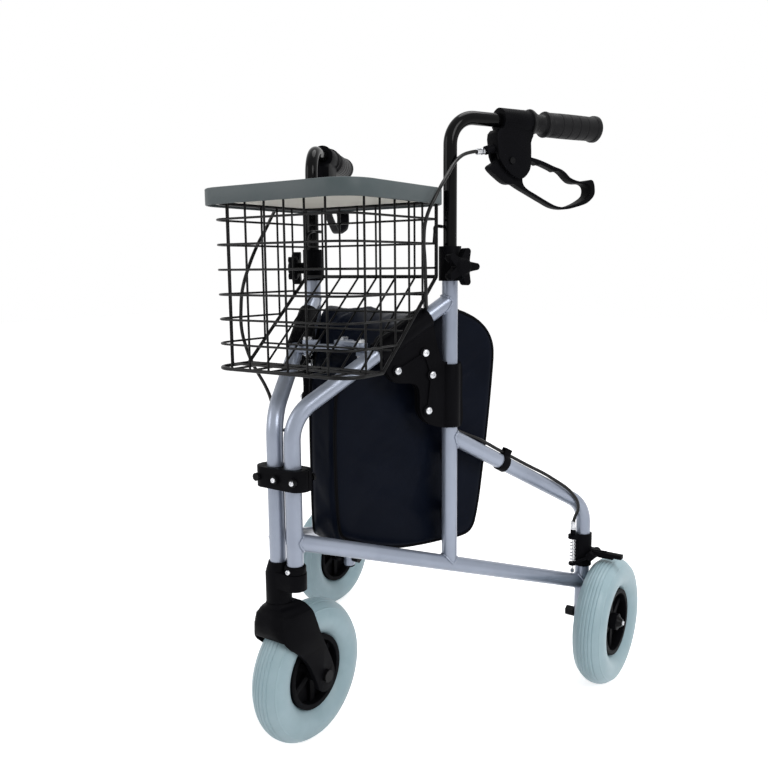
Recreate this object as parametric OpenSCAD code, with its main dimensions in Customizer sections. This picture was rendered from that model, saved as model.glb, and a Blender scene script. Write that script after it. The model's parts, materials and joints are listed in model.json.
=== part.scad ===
// Three wheel rollator: two folding side frames on a front castor, with height adjustable handles,
// loop brake levers, a wire basket with a lift-off tray, and a soft bag between the frames.
// The front faces -Y, +X is the user's left, and the origin is on the floor under the middle.

/* [Frame] */
// Outside diameter of the frame tubes
frame_d = 22; // [20:0.5:24]
// Wall of the frame tubes
frame_wall = 1.5; // [1.2:0.1:2]
// Angle between each side frame and the direction of travel
splay = 26.5; // [24:0.5:29]
// Half the distance between the two front tubes
hinge_x = 15; // [14:0.5:18]
// From the front hinge line to the rear axle
wheel_base = 444; // [420:1:470]
// From the front tube to the upright, along the side frame
upright_s = 240; // [225:1:255]
// Height of the top of the upright
upright_top_z = 675; // [665:1:690]
// Height of the lower tube's axis at the front tube
lower_front_z = 308; // [300:1:316]
// Height of the lower tube's axis at the drop tube
lower_rear_z = 154; // [148:1:160]
// Height where the sloping tube's axis meets the front tube's axis
slope_front_z = 472; // [465:1:480]
// Height where the sloping tube's axis meets the upright's axis
slope_upright_z = 615; // [608:1:622]
// Height where the rear stay's axis meets the upright's axis
stay_upright_z = 423; // [416:1:430]
// Height where the rear stay's axis meets the drop tube's axis
stay_rear_z = 282; // [275:1:290]
// Bend radius of the front tube, at the axis
front_bend_r = 55; // [45:1:65]
// Bend radius of the rear stay, at the axis
stay_bend_r = 50; // [40:1:60]

/* [Wheels] */
// Outside diameter of the tyres
wheel_d = 200; // [190:1:206]
// Width of the tyres
tyre_w = 50; // [44:1:52]
// Half the distance between the rear wheels
rear_wheel_x = 279; // [277:1:290]
// Castor trail of the front wheel
trail = 54; // [46:1:60]
// Axle diameter
axle_d = 10; // [8:0.5:12]
// Spokes of each hub
spoke_count = 6; // [5:1:8]

/* [Handles] */
// Height of the left handle's axis
grip_z = 861; // [845:1:880]
// How much lower the right handle is set
notch_drop = 22.5; // [0:0.5:25]
// Wall of the handle tubes
handle_wall = 1.5; // [1.2:0.1:2]
// Bend radius of the handle tubes, at the axis
handle_bend_r = 38; // [34:1:44]
// End of the grips, along the side frame
grip_end_s = 499; // [488:1:515]
// Largest diameter of the grips
grip_d = 32; // [30:0.5:34]
// Length of the brake levers from pivot to tip
lever_len = 170; // [160:1:180]
// Height of the brake levers over the loop
lever_h = 76; // [70:1:82]
// Diameter across the star knob's lobes
knob_d = 52; // [46:1:56]

/* [Basket and tray] */
// Half width of the basket
basket_x = 115; // [108:1:116]
// Front of the basket, from the hinge line
basket_front = -8; // [-12:1:0]
// Back of the basket, from the hinge line
basket_back_y = 190; // [184:1:192]
// Where the floor turns up, from the hinge line
basket_kink = 60; // [50:1:66]
// Height where the sloping floor meets the back
basket_heel_z = 647; // [636:1:652]
// Corner radius at the basket's front
basket_r = 30; // [20:1:34]
// Wires across the basket
basket_wires = 6; // [4:1:6]
// Spacing of the basket's wires
wire_pitch = 32.5; // [30:0.5:33]
// Diameter of the mesh wire
wire_d = 3; // [2.5:0.1:3.5]
// Diameter of the basket's frame wire
rim_wire_d = 5; // [4:0.1:5.5]
// Half width of the tray
tray_x = 131; // [128:1:134]
// Height of the tray's top
tray_z = 763.5; // [758:0.5:770]
// Height of the tray's skirt
tray_h = 21.5; // [20:0.5:26]
// Corner radius of the tray
tray_r = 42; // [30:1:50]

/* [Bag] */
// Height of the bag's underside
bag_low_z = 255; // [248:1:270]
// Height of the bag's top
bag_top_z = 606; // [590:1:612]
// Back of the bag, from the hinge line
bag_back = 319; // [300:1:325]

/* [Hidden] */
$fn = 48;

// Fits and cuts
overrun = 1;
weld_gap = 0.05;
seat_gap = 0.3;
run_fit = 0.05;
hinge_fit = 0.08;
slide_fit = 0.1;

// Frame places worked out from the driving sizes
frame_r = frame_d / 2;
wheel_r = wheel_d / 2;
tyre_r = tyre_w / 2;
hinge_y = -(wheel_base + trail) / 2;
rear_s = wheel_base / cos(splay);
drop_x = hinge_x + wheel_base * tan(splay);
wheel_out = rear_wheel_x - drop_x;
slope_a = atan((slope_upright_z - slope_front_z) / upright_s);
stay_a = atan((stay_upright_z - stay_rear_z) / (rear_s - upright_s));
lower_a = atan((lower_front_z - lower_rear_z) / rear_s);
front_turn = 90 - slope_a;
stay_turn = 90 - stay_a;
front_bend_z = slope_front_z - front_bend_r * tan(front_turn / 2);
stay_bend_z = stay_rear_z - stay_bend_r * tan(stay_turn / 2);
drop_tail = 15;
drop_foot_z = wheel_r - drop_tail;

// Front head, fork and hinge clamp
socket_d = 34.5;
socket_low_z = 222;
socket_shoulder_z = 262;
socket_top_z = 277;
socket_neck_d = 25.5;
right_foot_z = 244;
left_foot_z = 266;
head_arm_h = 22;
head_arm_w = 30;
stem_d = 14;
stem_top_z = 238;
clamp_low_z = 379;
clamp_h = 27;
clamp_half_w = 41;
clamp_depth = 17;
clamp_split = 0.6;
clamp_bolt_d = 6;
clamp_bolt_x = 31;
clamp_head_d = 10.5;
clamp_head_h = 4;
fork_top_z = socket_low_z - seat_gap;
fork_half_w = 34.5;
fork_shoulder_r = 24;
fork_leg_w = 7.5;
fork_wheel_gap = 6;
fork_boss_d = 30;
fork_reach = 100;

// Wheels
rim_r = wheel_r - tyre_w;
rim_seat = 2;
rim_wall = 7;
rim_half_w = 17;
hub_half_w = 19;
hub_boss_r = 13;
hub_cap_r = 10;
hub_cap_h = 7;
spoke_w = 9;
spoke_half_h = 8;
groove_w = 1.4;
groove_depth = 1.1;
groove_pitch = 5.5;
grooves = 5;
axle_shoulder_d = 16;
axle_head_h = 5;
nut_d = 17;
nut_h = 13;
bush_half = (fork_half_w - fork_leg_w - hub_half_w) / 2 - seat_gap;

// Handles and brake levers
handle_d = frame_d - 2 * frame_wall - 2 * slide_fit;
handle_insert = 150;
handle_foot_z = upright_top_z - handle_insert;
collar_low_z = 641;
collar_h = 47;
collar_d = 31;
boss_d = 17;
boss_reach = 21;
knob_z = 660;
knob_h = 13;
knob_core_d = 25;
knob_root_w = 17;
knob_tip_d = 9.5;
knob_lobes = 5;
knob_turn = 18;
knob_screw_d = 8;
knob_cap_h = 4;
housing_front_s = 320;
housing_clamp_len = 50;
housing_clamp_d = 34;
pivot_s = 335;
pivot_drop = 55;
pivot_z = grip_z - pivot_drop;
lever_w = 20;
lever_root_w = 14;
lever_hub_d = 26;
lever_pin_d = 6;
pin_head_d = 9;
pin_head_h = 2;
cheek_w = 5;
cheek_h = 66;
cheek_len = 62;
cheek_low_share = 0.36;
lever_slot_s = 306;
lever_slot_room = 12;
lever_room_s = 324;
lever_front_rise = 10.5;
lever_front_z = pivot_z + lever_front_rise;
lever_slot_z = pivot_z + lever_hub_d / 2 + lever_slot_room;
lever_wide_share = 0.27;
lever_bump_d = 8;
lever_bump_shares = [[0.347, 0.0], [0.53, -0.115]];
cable_d = 5;
cable_boss_d = 12;
cable_boss_len = 30;
cable_boss_a = 17;
cable_boss_s = 298;
cable_boss_drop = 42;
grip_start_s = housing_front_s + housing_clamp_len + seat_gap;
grip_cap = 3;

// Rear brake, in a frame on the drop tube's axis with X outboard
bracket_low_z = 184;
bracket_top_z = 236;
bracket_d = 28;
ear_h = 6;
ear_d = 15;
ear_web_w = 12;
spring_off = 21;
spring_wire_d = 1.6;
spring_r = 4.6;
spring_turns = 6.5;
spring_rings = 8;
spring_sides = 6;
spring_seat_h = 4;
spring_top_z = bracket_top_z - ear_h - seat_gap;
spring_low_z = 190.6;
arm_pivot_x = 20.5;
arm_pivot_z = wheel_d + 6;
arm_pin_d = 6;
arm_hub_d = 13;
arm_front = 24;
arm_back = 4.3;
arm_bar_h = 6;
arm_bar_w = 11;
arm_strut_d = 5;
arm_seat_r = 6;
arm_bar_low = 2;
shoe_drop = 0.5;
shoe_half_w = 12;
lug_back = 10;
lug_w = 14;
lug_web_h = 11;
stop_d = 8;
stop_h = 9;

// Folding brace
brace_s = 112;
brace_in = 20;
brace_low_z = 548;
brace_h = 12;
brace_w = 14;
brace_start_a = 25;
brace_stud_d = 8;
brace_eye_r = 8;
brace_pin_d = 6;
brace_slot_r = 10;
brace_ring_r = 14;
brace_full = 16;
brace_lap_gap = 0.4;
lug_plate_h = 5;

// Gusset
gusset_s = 120;
gusset_w = 138;
gusset_low_z = 435;
gusset_h = 172;
gusset_web_t = 7;
gusset_split = 0.25;
sleeve_d = 30;
sleeve_low_z = 437;
sleeve_h = 89;
slope_sleeve_from = 124;
slope_sleeve_to = 202;
gusset_boss_d = 15;
gusset_boss_t = 11;
gusset_boss_shares = [[0.613, 0.455], [0.568, 0.17], [0.533, 0.635], [0.218, 0.509]];
rib_w = 3;
rib_t = 10;
rib_ends = [[3, 2], [2, 0], [0, 1]];

// Cable clip
clip_s = 333;
clip_w = 12;
clip_t = 2;
clip_room = 0.5;
clip_top = frame_r + cable_d + 3 * clip_t;

// Basket places
rest_gap = 0.6;
side_slope_a = atan(tan(slope_a) / cos(splay));
basket_floor_z = slope_front_z + basket_kink * tan(side_slope_a)
    + (frame_r + rim_wire_d / 2 + rest_gap) / cos(side_slope_a);
tray_floor_t = 3;
tray_wall = 3;
tray_front_gap = 12;
tray_back_gap = 18;
tray_drop = 7;
basket_top_z = tray_z - tray_h + tray_drop - rim_wire_d / 2 - seat_gap;
basket_rows = 6;
wire_lap = 0.6;

// Bag
bag_r = 16;
bag_side_gap = 27;
bag_front_low = 84;
bag_front_top = 84;
bag_front_low_z = 296;
bag_front_top_z = 450;
bag_brow = 182;
bag_brow_z = 566;
bag_heel = 272;
bag_keel = 166;
tab_w = 24;
tab_h = 16;
tab_places = [300, 388];

// Outlines as shares of the box that they fill, chosen by hand
lever_outer_shares = [
    [0.01, 0.17], [0.22, 0.17], [0.435, 0.06], [0.66, -0.10], [0.75, -0.28], [0.85, -0.30], [0.945, -0.25],
    [1.0, -0.38], [0.955, -0.61], [0.78, -0.77], [0.57, -0.83], [0.41, -0.74], [0.235, -0.52],
    [0.10, -0.38], [0.0, -0.34], [-0.10, -0.20], [-0.13, 0.0]
];
lever_inner_shares = [
    [0.215, -0.12], [0.26, 0.01], [0.435, -0.07], [0.62, -0.21], [0.71, -0.385], [0.795, -0.425],
    [0.875, -0.40], [0.90, -0.50], [0.795, -0.67], [0.58, -0.745], [0.43, -0.645], [0.265, -0.43],
    [0.205, -0.29]
];
cheek_shares = [
    [0.0, 1.0], [0.87, 1.0], [0.86, 0.76], [0.87, 0.5], [0.84, 0.2], [0.62, 0.0], [0.32, 0.08],
    [0.02, 0.34], [-0.06, 0.6]
];
gusset_shares = [
    [0.02, 0.74], [0.22, 0.84], [0.51, 0.98], [0.59, 0.94], [0.65, 0.83], [0.70, 0.66], [0.77, 0.55],
    [0.97, 0.54], [0.99, 0.26], [0.98, 0.01], [0.77, 0.01], [0.58, 0.06], [0.49, 0.16], [0.48, 0.32],
    [0.42, 0.39], [0.22, 0.41], [0.14, 0.465], [0.07, 0.57]
];
fork_side_shares = [
    [-0.15, 1.0], [0.15, 1.0], [0.27, 0.89], [0.35, 0.74], [0.45, 0.534], [0.56, 0.345], [0.67, 0.148],
    [0.72, 0.0], [0.66, -0.148], [0.53, -0.19], [0.40, -0.131], [0.31, 0.041], [0.18, 0.246], [0.02, 0.41],
    [-0.14, 0.526], [-0.26, 0.657], [-0.29, 0.789], [-0.24, 0.92]
];
outline_steps = 4;

// Brake cable routes from the lever to the brake: out from the frame, along it, and up
left_route = [
    [0, 297, 818], [4, 272, 815], [16, 243, 804], [31, 216, 780], [43, 190, 751], [40, 177, 722],
    [34, 177, 695], [30, 181, 668], [30, 182, 640], [28, 184, 616], [17, 191, 605], [2, 199, 614],
    [-12, 207, 608], [-20, 215, 580], [-22, 222, 520], [-21, 232, 468], [-17, 247, 435], [-6, 266, 423],
    [0, 292, 411], [0, 333, 388], [0, 380, 362], [5, 424, 337], [14, 462, 306], [12, 474, 284],
    [2, 475, 262], [0, 475, 246]
];
right_route = [
    [0, 297, 796], [8, 270, 793], [26, 238, 782], [40, 208, 762], [46, 180, 737], [50, 155, 715],
    [57, 132, 690], [64, 115, 662], [70, 103, 632], [72, 99, 604], [72, 99, 576], [68, 104, 550],
    [62, 110, 528], [50, 101, 512], [36, 85, 498], [24, 71, 480], [18, 66, 458], [17, 84, 438],
    [17, 124, 429], [17, 190, 426], [16, 240, 430], [8, 266, 424], [0, 292, 411], [0, 333, 388],
    [0, 380, 362], [5, 424, 337], [14, 462, 306], [12, 474, 284], [2, 475, 262], [0, 475, 246]
];
cable_steps = 2;
cable_sides = 8;

// Colours
silver = [0.74, 0.76, 0.82];
black = [0.07, 0.07, 0.08];
gloss = [0.03, 0.03, 0.04];
tyre_grey = [0.66, 0.74, 0.75];
zinc = [0.78, 0.79, 0.8];
tray_grey = [0.42, 0.44, 0.46];
cloth = [0.06, 0.07, 0.11];

// Curves
function blend_point(a, b, c, d, t) =
    ((2 * b) + (c - a) * t + (2 * a - 5 * b + 4 * c - d) * t * t + (3 * b - a - 3 * c + d) * t * t * t) / 2;
function closed_curve(p, steps) = [for (i = [0 : len(p) - 1], k = [0 : steps - 1])
    blend_point(p[(i + len(p) - 1) % len(p)], p[i], p[(i + 1) % len(p)], p[(i + 2) % len(p)], k / steps)];
function open_curve(p, steps) = concat(
    [for (i = [0 : len(p) - 2], k = [0 : steps - 1])
        blend_point(p[max(i - 1, 0)], p[i], p[i + 1], p[min(i + 2, len(p) - 1)], k / steps)],
    [p[len(p) - 1]]);
function scaled_shares(shares, w, h) = [for (p = shares) [p[0] * w, p[1] * h]];
function unit(v) = v / norm(v);

// A round tube swept along points, as one closed skin
module sweep(points, d, sides, across) {
    last = len(points) - 1;
    rings = [for (i = [0 : last])
        let (t = unit(points[min(i + 1, last)] - points[max(i - 1, 0)]),
             u = unit(cross(t, across)),
             v = cross(t, u))
        for (k = [0 : sides - 1]) points[i] + (u * cos(360 * k / sides) + v * sin(360 * k / sides)) * d / 2];
    walls = [for (i = [0 : last - 1], k = [0 : sides - 1])
        let (a = i * sides + k, b = i * sides + (k + 1) % sides)
        each [[a, b, b + sides], [a, b + sides, a + sides]]];
    near = [for (k = [1 : sides - 2]) [0, k + 1, k]];
    far = [for (k = [1 : sides - 2]) [last * sides, last * sides + k, last * sides + k + 1]];
    polyhedron(points = rings, faces = concat(walls, near, far));
}

// Placing: sides, side frames and drop tubes
module sided(side) {
    if (side > 0) children();
    else mirror([1, 0, 0]) children();
}
module on_frame(side) {
    sided(side) translate([hinge_x, hinge_y, 0]) rotate([0, 0, -splay]) children();
}
module on_drop(side) {
    sided(side) translate([drop_x, hinge_y + wheel_base, 0]) children();
}
module in_plane() {
    rotate([90, 0, 90]) children();
}
module along_x() {
    rotate([0, 90, 0]) children();
}
module along_y() {
    rotate([-90, 0, 0]) children();
}

// A round bar between two points
module rod(p, q, d) {
    v = q - p;
    translate(p) rotate([0, acos(v[2] / norm(v)), atan2(v[1], v[0])]) cylinder(d = d, h = norm(v));
}
// A bend in the plane of the side frame
module bend(s, z, r, start, turn, d) {
    in_plane() translate([s, z, 0]) rotate([0, 0, start])
        rotate_extrude(angle = turn) translate([r, 0]) circle(d = d);
}
module rounded_rect(w, h, r) {
    square([w - 2 * r, h], center = true);
    square([w, h - 2 * r], center = true);
    for (x = [-1, 1], y = [-1, 1]) translate([x * (w / 2 - r), y * (h / 2 - r)]) circle(r = r);
}

// Solid runs of the frame tubes, at any diameter
module front_run(d, extra) {
    slope_start = front_bend_r * (1 - cos(front_turn));
    slope_from = [0, slope_start, front_bend_z + front_bend_r * sin(front_turn)];
    translate([0, 0, -extra]) cylinder(d = d, h = front_bend_z + extra);
    bend(front_bend_r, front_bend_z, front_bend_r, 180 - front_turn, front_turn, d);
    rod(slope_from, [0, upright_s, slope_upright_z], d);
}
module upright_run(d, extra) {
    translate([0, upright_s, lower_rear_z]) cylinder(d = d, h = upright_top_z + extra - lower_rear_z);
}
module lower_run(d) {
    rod([0, 0, lower_front_z], [0, rear_s, lower_rear_z], d);
}
module stay_run(d, extra) {
    bend_s = rear_s - stay_bend_r;
    rod([0, upright_s, stay_upright_z],
        [0, bend_s + stay_bend_r * cos(stay_turn), stay_bend_z + stay_bend_r * sin(stay_turn)], d);
    bend(bend_s, stay_bend_z, stay_bend_r, 0, stay_turn, d);
    translate([0, rear_s, drop_foot_z - extra]) cylinder(d = d, h = stay_bend_z - drop_foot_z + extra);
}

// Frame tubes
module front_tube(side) {
    foot_z = side > 0 ? left_foot_z : right_foot_z;
    bore = frame_d - 2 * frame_wall;
    color(silver) on_frame(side) {
        difference() {
            union() {
                front_run(frame_d, 0);
                brace_lug();
            }
            front_run(bore, overrun);
            translate([0, 0, -overrun]) cylinder(d = 2 * frame_d, h = foot_z + overrun);
            translate([0, upright_s, 0]) cylinder(d = frame_d + 2 * weld_gap, h = upright_top_z);
        }
        brace_stud();
    }
}
// Welded lug on the sloping tube that carries the brace
module brace_lug() {
    top = brace_low_z - seat_gap;
    translate([-brace_in, brace_s, top - lug_plate_h]) {
        cylinder(r = brace_eye_r, h = lug_plate_h);
        translate([0, -brace_eye_r, 0]) cube([brace_in, 2 * brace_eye_r, lug_plate_h]);
    }
}
module brace_stud() {
    translate([-brace_in, brace_s, brace_low_z - seat_gap])
        cylinder(d = brace_stud_d, h = brace_h + seat_gap);
}
module upright(side) {
    color(silver) on_frame(side) difference() {
        upright_run(frame_d, 0);
        upright_run(frame_d - 2 * frame_wall, overrun);
        lower_run(frame_d + 2 * weld_gap);
        translate([0, upright_s, lower_rear_z - overrun])
            cylinder(d = 2 * frame_d, h = lower_front_z - lower_rear_z - upright_s * tan(lower_a) + overrun);
        translate([0, upright_s, knob_z]) along_x()
            cylinder(d = knob_screw_d + 2 * slide_fit, h = frame_d);
    }
}
module lower_tube(side) {
    color(silver) on_frame(side) difference() {
        lower_run(frame_d);
        lower_run(frame_d - 2 * frame_wall);
        cylinder(d = frame_d + 2 * weld_gap, h = upright_top_z);
        translate([0, rear_s, 0]) cylinder(d = frame_d + 2 * weld_gap, h = upright_top_z);
    }
}
module rear_stay(side) {
    color(silver) difference() {
        on_frame(side) difference() {
            stay_run(frame_d, 0);
            stay_run(frame_d - 2 * frame_wall, overrun);
            translate([0, upright_s, 0]) cylinder(d = frame_d + 2 * weld_gap, h = upright_top_z);
        }
        on_drop(side) translate([-frame_d, 0, wheel_r]) along_x()
            cylinder(d = axle_d + 2 * run_fit, h = 2 * frame_d);
    }
}

// Moulded half shells that clamp the upright to the sloping tube
module gusset(side, face) {
    slope = [0, cos(slope_a), sin(slope_a)];
    slope_foot = [0, 0, slope_front_z];
    bosses = scaled_shares(gusset_boss_shares, gusset_w, gusset_h);
    color(black) on_frame(side) difference() {
        union() {
            gusset_layer(gusset_web_t)
                polygon(closed_curve(scaled_shares(gusset_shares, gusset_w, gusset_h), outline_steps));
            gusset_layer(gusset_boss_t) for (p = bosses) translate(p) circle(d = gusset_boss_d);
            gusset_layer(rib_t) for (ends = rib_ends) gusset_rib(bosses[ends[0]], bosses[ends[1]]);
            translate([0, upright_s, sleeve_low_z]) cylinder(d = sleeve_d, h = sleeve_h);
            rod(slope_foot + slope * slope_sleeve_from / cos(slope_a),
                slope_foot + slope * slope_sleeve_to / cos(slope_a), sleeve_d);
        }
        front_run(frame_d + 2 * weld_gap, 0);
        upright_run(frame_d + 2 * weld_gap, 0);
        translate([face > 0 ? -sleeve_d : -gusset_split, 0, gusset_low_z - gusset_h])
            cube([sleeve_d + gusset_split, 2 * rear_s, 3 * gusset_h]);
    }
}
// A layer of the gusset, as thick on both sides of the frame's plane
module gusset_layer(t) {
    translate([-t, gusset_s, gusset_low_z]) in_plane() linear_extrude(height = 2 * t) children();
}
module gusset_rib(p, q) {
    way = q - p;
    translate(p) rotate([0, 0, atan2(way[1], way[0])]) translate([0, -rib_w / 2]) square([norm(way), rib_w]);
}

// Height adjustment
module height_collar(side) {
    color(black) on_frame(side) translate([0, upright_s, 0]) difference() {
        union() {
            translate([0, 0, collar_low_z]) cylinder(d = collar_d, h = collar_h);
            translate([0, 0, knob_z]) along_x() cylinder(d = boss_d, h = boss_reach);
        }
        cylinder(d = frame_d + 2 * weld_gap, h = upright_top_z + weld_gap);
        cylinder(d = handle_d + 2 * seat_gap, h = collar_low_z + collar_h + overrun);
        translate([0, 0, knob_z]) along_x()
            cylinder(d = knob_screw_d + 2 * run_fit, h = boss_reach + overrun);
    }
}
module height_knob(side) {
    arm = (knob_d - knob_tip_d) / 2;
    color(black) on_frame(side) translate([0, upright_s, knob_z]) along_x() {
        translate([0, 0, boss_reach + seat_gap]) linear_extrude(height = knob_h) {
            circle(d = knob_core_d);
            for (i = [0 : knob_lobes - 1]) rotate([0, 0, knob_turn + i * 360 / knob_lobes]) {
                polygon([
                    [0, -knob_root_w / 2], [arm, -knob_tip_d / 2], [arm, knob_tip_d / 2], [0, knob_root_w / 2]
                ]);
                translate([arm, 0]) circle(d = knob_tip_d);
            }
        }
        translate([0, 0, boss_reach + seat_gap + knob_h])
            cylinder(d1 = knob_core_d, d2 = knob_core_d - 2 * knob_cap_h, h = knob_cap_h);
        translate([0, 0, handle_d / 2 + seat_gap])
            cylinder(d = knob_screw_d, h = boss_reach - handle_d / 2 + knob_h / 2);
    }
}

// Handles, each set at its own height
function handle_shift(side) = side > 0 ? 0 : -notch_drop;
module on_handle(side) {
    on_frame(side) translate([0, 0, handle_shift(side)]) children();
}
module handle_run(d, extra) {
    bend_z = grip_z - handle_bend_r;
    translate([0, upright_s, handle_foot_z - extra]) cylinder(d = d, h = bend_z - handle_foot_z + extra);
    bend(upright_s + handle_bend_r, bend_z, handle_bend_r, 90, 90, d);
    translate([0, upright_s + handle_bend_r, grip_z]) along_y()
        cylinder(d = d, h = grip_end_s - grip_cap - upright_s - handle_bend_r + extra);
}
module handle_tube(side) {
    color(gloss) on_handle(side) difference() {
        handle_run(handle_d, 0);
        handle_run(handle_d - 2 * handle_wall, overrun);
    }
}
// The grip's section: a flared guard, a waist, the palm swell and an end flange
grip_shares = [
    [0.0, 0.98], [0.06, 0.98], [0.13, 0.80], [0.19, 0.78], [0.23, 0.98], [0.5, 0.95], [0.9, 0.86],
    [0.93, 0.86], [0.94, 0.93], [0.985, 0.93], [1.0, 0.84]
];
module grip(side) {
    len_s = grip_end_s - grip_start_s;
    outline = [for (p = grip_shares) [p[1] * grip_d / 2, p[0] * len_s]];
    color(black) on_handle(side) translate([0, grip_start_s, grip_z]) along_y() difference() {
        rotate_extrude() polygon(concat([[0, 0]], outline, [[0, len_s]]));
        translate([0, 0, -overrun])
            cylinder(d = handle_d + 2 * weld_gap, h = len_s - grip_cap + weld_gap + overrun);
    }
}

// Brake housing clamped on the handle, with cheeks for the lever and a boss for the cable
module brake_housing(side) {
    slot = lever_root_w + 2 * seat_gap;
    cheek_low = pivot_z - cheek_h * cheek_low_share;
    color(black) on_handle(side) difference() {
        union() {
            translate([0, housing_front_s, grip_z]) along_y()
                cylinder(d = housing_clamp_d, h = housing_clamp_len);
            translate([-slot / 2 - cheek_w, housing_front_s - cheek_w, cheek_low]) in_plane()
                linear_extrude(height = slot + 2 * cheek_w)
                    polygon(closed_curve(scaled_shares(cheek_shares, cheek_len, cheek_h), outline_steps));
            translate([0, cable_boss_s, grip_z - cable_boss_drop]) rotate([cable_boss_a - 90, 0, 0])
                cylinder(d = cable_boss_d, h = cable_boss_len);
        }
        translate([0, housing_front_s - overrun, grip_z]) along_y()
            cylinder(d = handle_d + 2 * weld_gap, h = housing_clamp_len + 2 * overrun);
        translate([0, grip_start_s - seat_gap / 2, grip_z]) along_y()
            cylinder(d = grip_d + 2 * seat_gap, h = cheek_len);
        translate([-slot / 2, lever_slot_s, cheek_low - overrun])
            cube([slot, 2 * cheek_len, lever_front_z - cheek_low + overrun]);
        translate([-slot / 2, lever_room_s, cheek_low - overrun])
            cube([slot, 2 * cheek_len, lever_slot_z - cheek_low + overrun]);
        translate([-slot / 2 - cheek_w - overrun, pivot_s, pivot_z]) along_x()
            cylinder(d = lever_pin_d + 2 * weld_gap, h = slot + 2 * (cheek_w + overrun));
    }
}

module brake_lever(side) {
    color(black) on_handle(side) translate([0, pivot_s, pivot_z]) difference() {
        union() {
            translate([-lever_root_w / 2, 0, 0]) {
                in_plane() linear_extrude(height = lever_root_w) lever_loop();
                along_x() cylinder(d = lever_hub_d, h = lever_root_w);
            }
            translate([-lever_w / 2, 0, 0]) in_plane() linear_extrude(height = lever_w) difference() {
                lever_loop();
                translate([-lever_len, -lever_h]) square([lever_len * (1 + lever_wide_share), 2 * lever_h]);
            }
        }
        translate([-lever_w, 0, 0]) along_x() cylinder(d = lever_pin_d + 2 * run_fit, h = 2 * lever_w);
    }
}
// The loop seen from the side, with finger bumps under its upper bar
module lever_loop() {
    difference() {
        polygon(closed_curve(scaled_shares(lever_outer_shares, lever_len, lever_h), outline_steps));
        polygon(closed_curve(scaled_shares(lever_inner_shares, lever_len, lever_h), outline_steps));
    }
    for (p = scaled_shares(lever_bump_shares, lever_len, lever_h)) translate(p) circle(d = lever_bump_d);
}
module lever_pin(side) {
    half = lever_root_w / 2 + seat_gap + cheek_w;
    color(zinc) on_handle(side) translate([-half - pin_head_h, pivot_s, pivot_z]) along_x() {
        cylinder(d = lever_pin_d, h = 2 * (half + pin_head_h));
        translate([0, 0, -weld_gap]) cylinder(d = pin_head_d, h = pin_head_h);
        translate([0, 0, 2 * half + pin_head_h + weld_gap]) cylinder(d = pin_head_d, h = pin_head_h);
    }
}

// Brake cables
module brake_cable(side) {
    route = side > 0 ? left_route : right_route;
    color(black) on_frame(side) sweep(open_curve(route, cable_steps), cable_d, cable_sides, [1, 0, 0]);
}
module cable_clip(side) {
    outer = frame_d + 2 * clip_t;
    axis_z = stay_upright_z - (clip_s - upright_s) * tan(stay_a);
    color(black) on_frame(side) translate([0, clip_s, axis_z]) rotate([-stay_a, 0, 0])
        translate([0, -clip_w / 2, 0]) difference() {
            union() {
                along_y() cylinder(d = outer, h = clip_w);
                translate([-cable_d / 2 - clip_t, 0, 0]) cube([cable_d + 2 * clip_t, clip_w, clip_top]);
            }
            translate([0, -overrun, 0]) along_y()
                cylinder(d = frame_d + 2 * weld_gap, h = clip_w + 2 * overrun);
            translate([-cable_d / 2 - clip_room, -overrun, frame_r])
                cube([cable_d + 2 * clip_room, clip_w + 2 * overrun, clip_top - frame_r - clip_t]);
        }
}

// Rear brake
spring_x = -spring_off * sin(splay);
spring_y = -spring_off * cos(splay);
module brake_bracket(side) {
    ear_z = bracket_top_z - ear_h;
    color(black) on_drop(side) difference() {
        union() {
            translate([0, 0, bracket_low_z]) cylinder(d = bracket_d, h = bracket_top_z - bracket_low_z);
            rotate([0, 0, 180 - splay]) translate([0, 0, ear_z]) linear_extrude(height = ear_h) {
                translate([0, spring_off]) circle(d = ear_d);
                translate([-ear_web_w / 2, 0]) square([ear_web_w, spring_off]);
            }
            translate([spring_x, spring_y, bracket_top_z]) cylinder(d = stop_d, h = stop_h);
            translate([0, -arm_back + seat_gap, arm_pivot_z - lug_web_h / 2])
                cube([arm_pivot_x, lug_back + arm_back, lug_web_h]);
            translate([arm_pivot_x, -arm_back + seat_gap, arm_pivot_z]) along_y()
                cylinder(d = lug_w, h = lug_back + arm_back);
            translate([arm_pivot_x, -arm_front, arm_pivot_z]) along_y() cylinder(d = arm_pin_d, h = arm_front);
        }
        cylinder(d = frame_d + 2 * weld_gap, h = upright_top_z);
        translate([spring_x, spring_y, ear_z - overrun])
            cylinder(d = cable_d / 2, h = ear_h + stop_h + 2 * overrun);
    }
}
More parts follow.
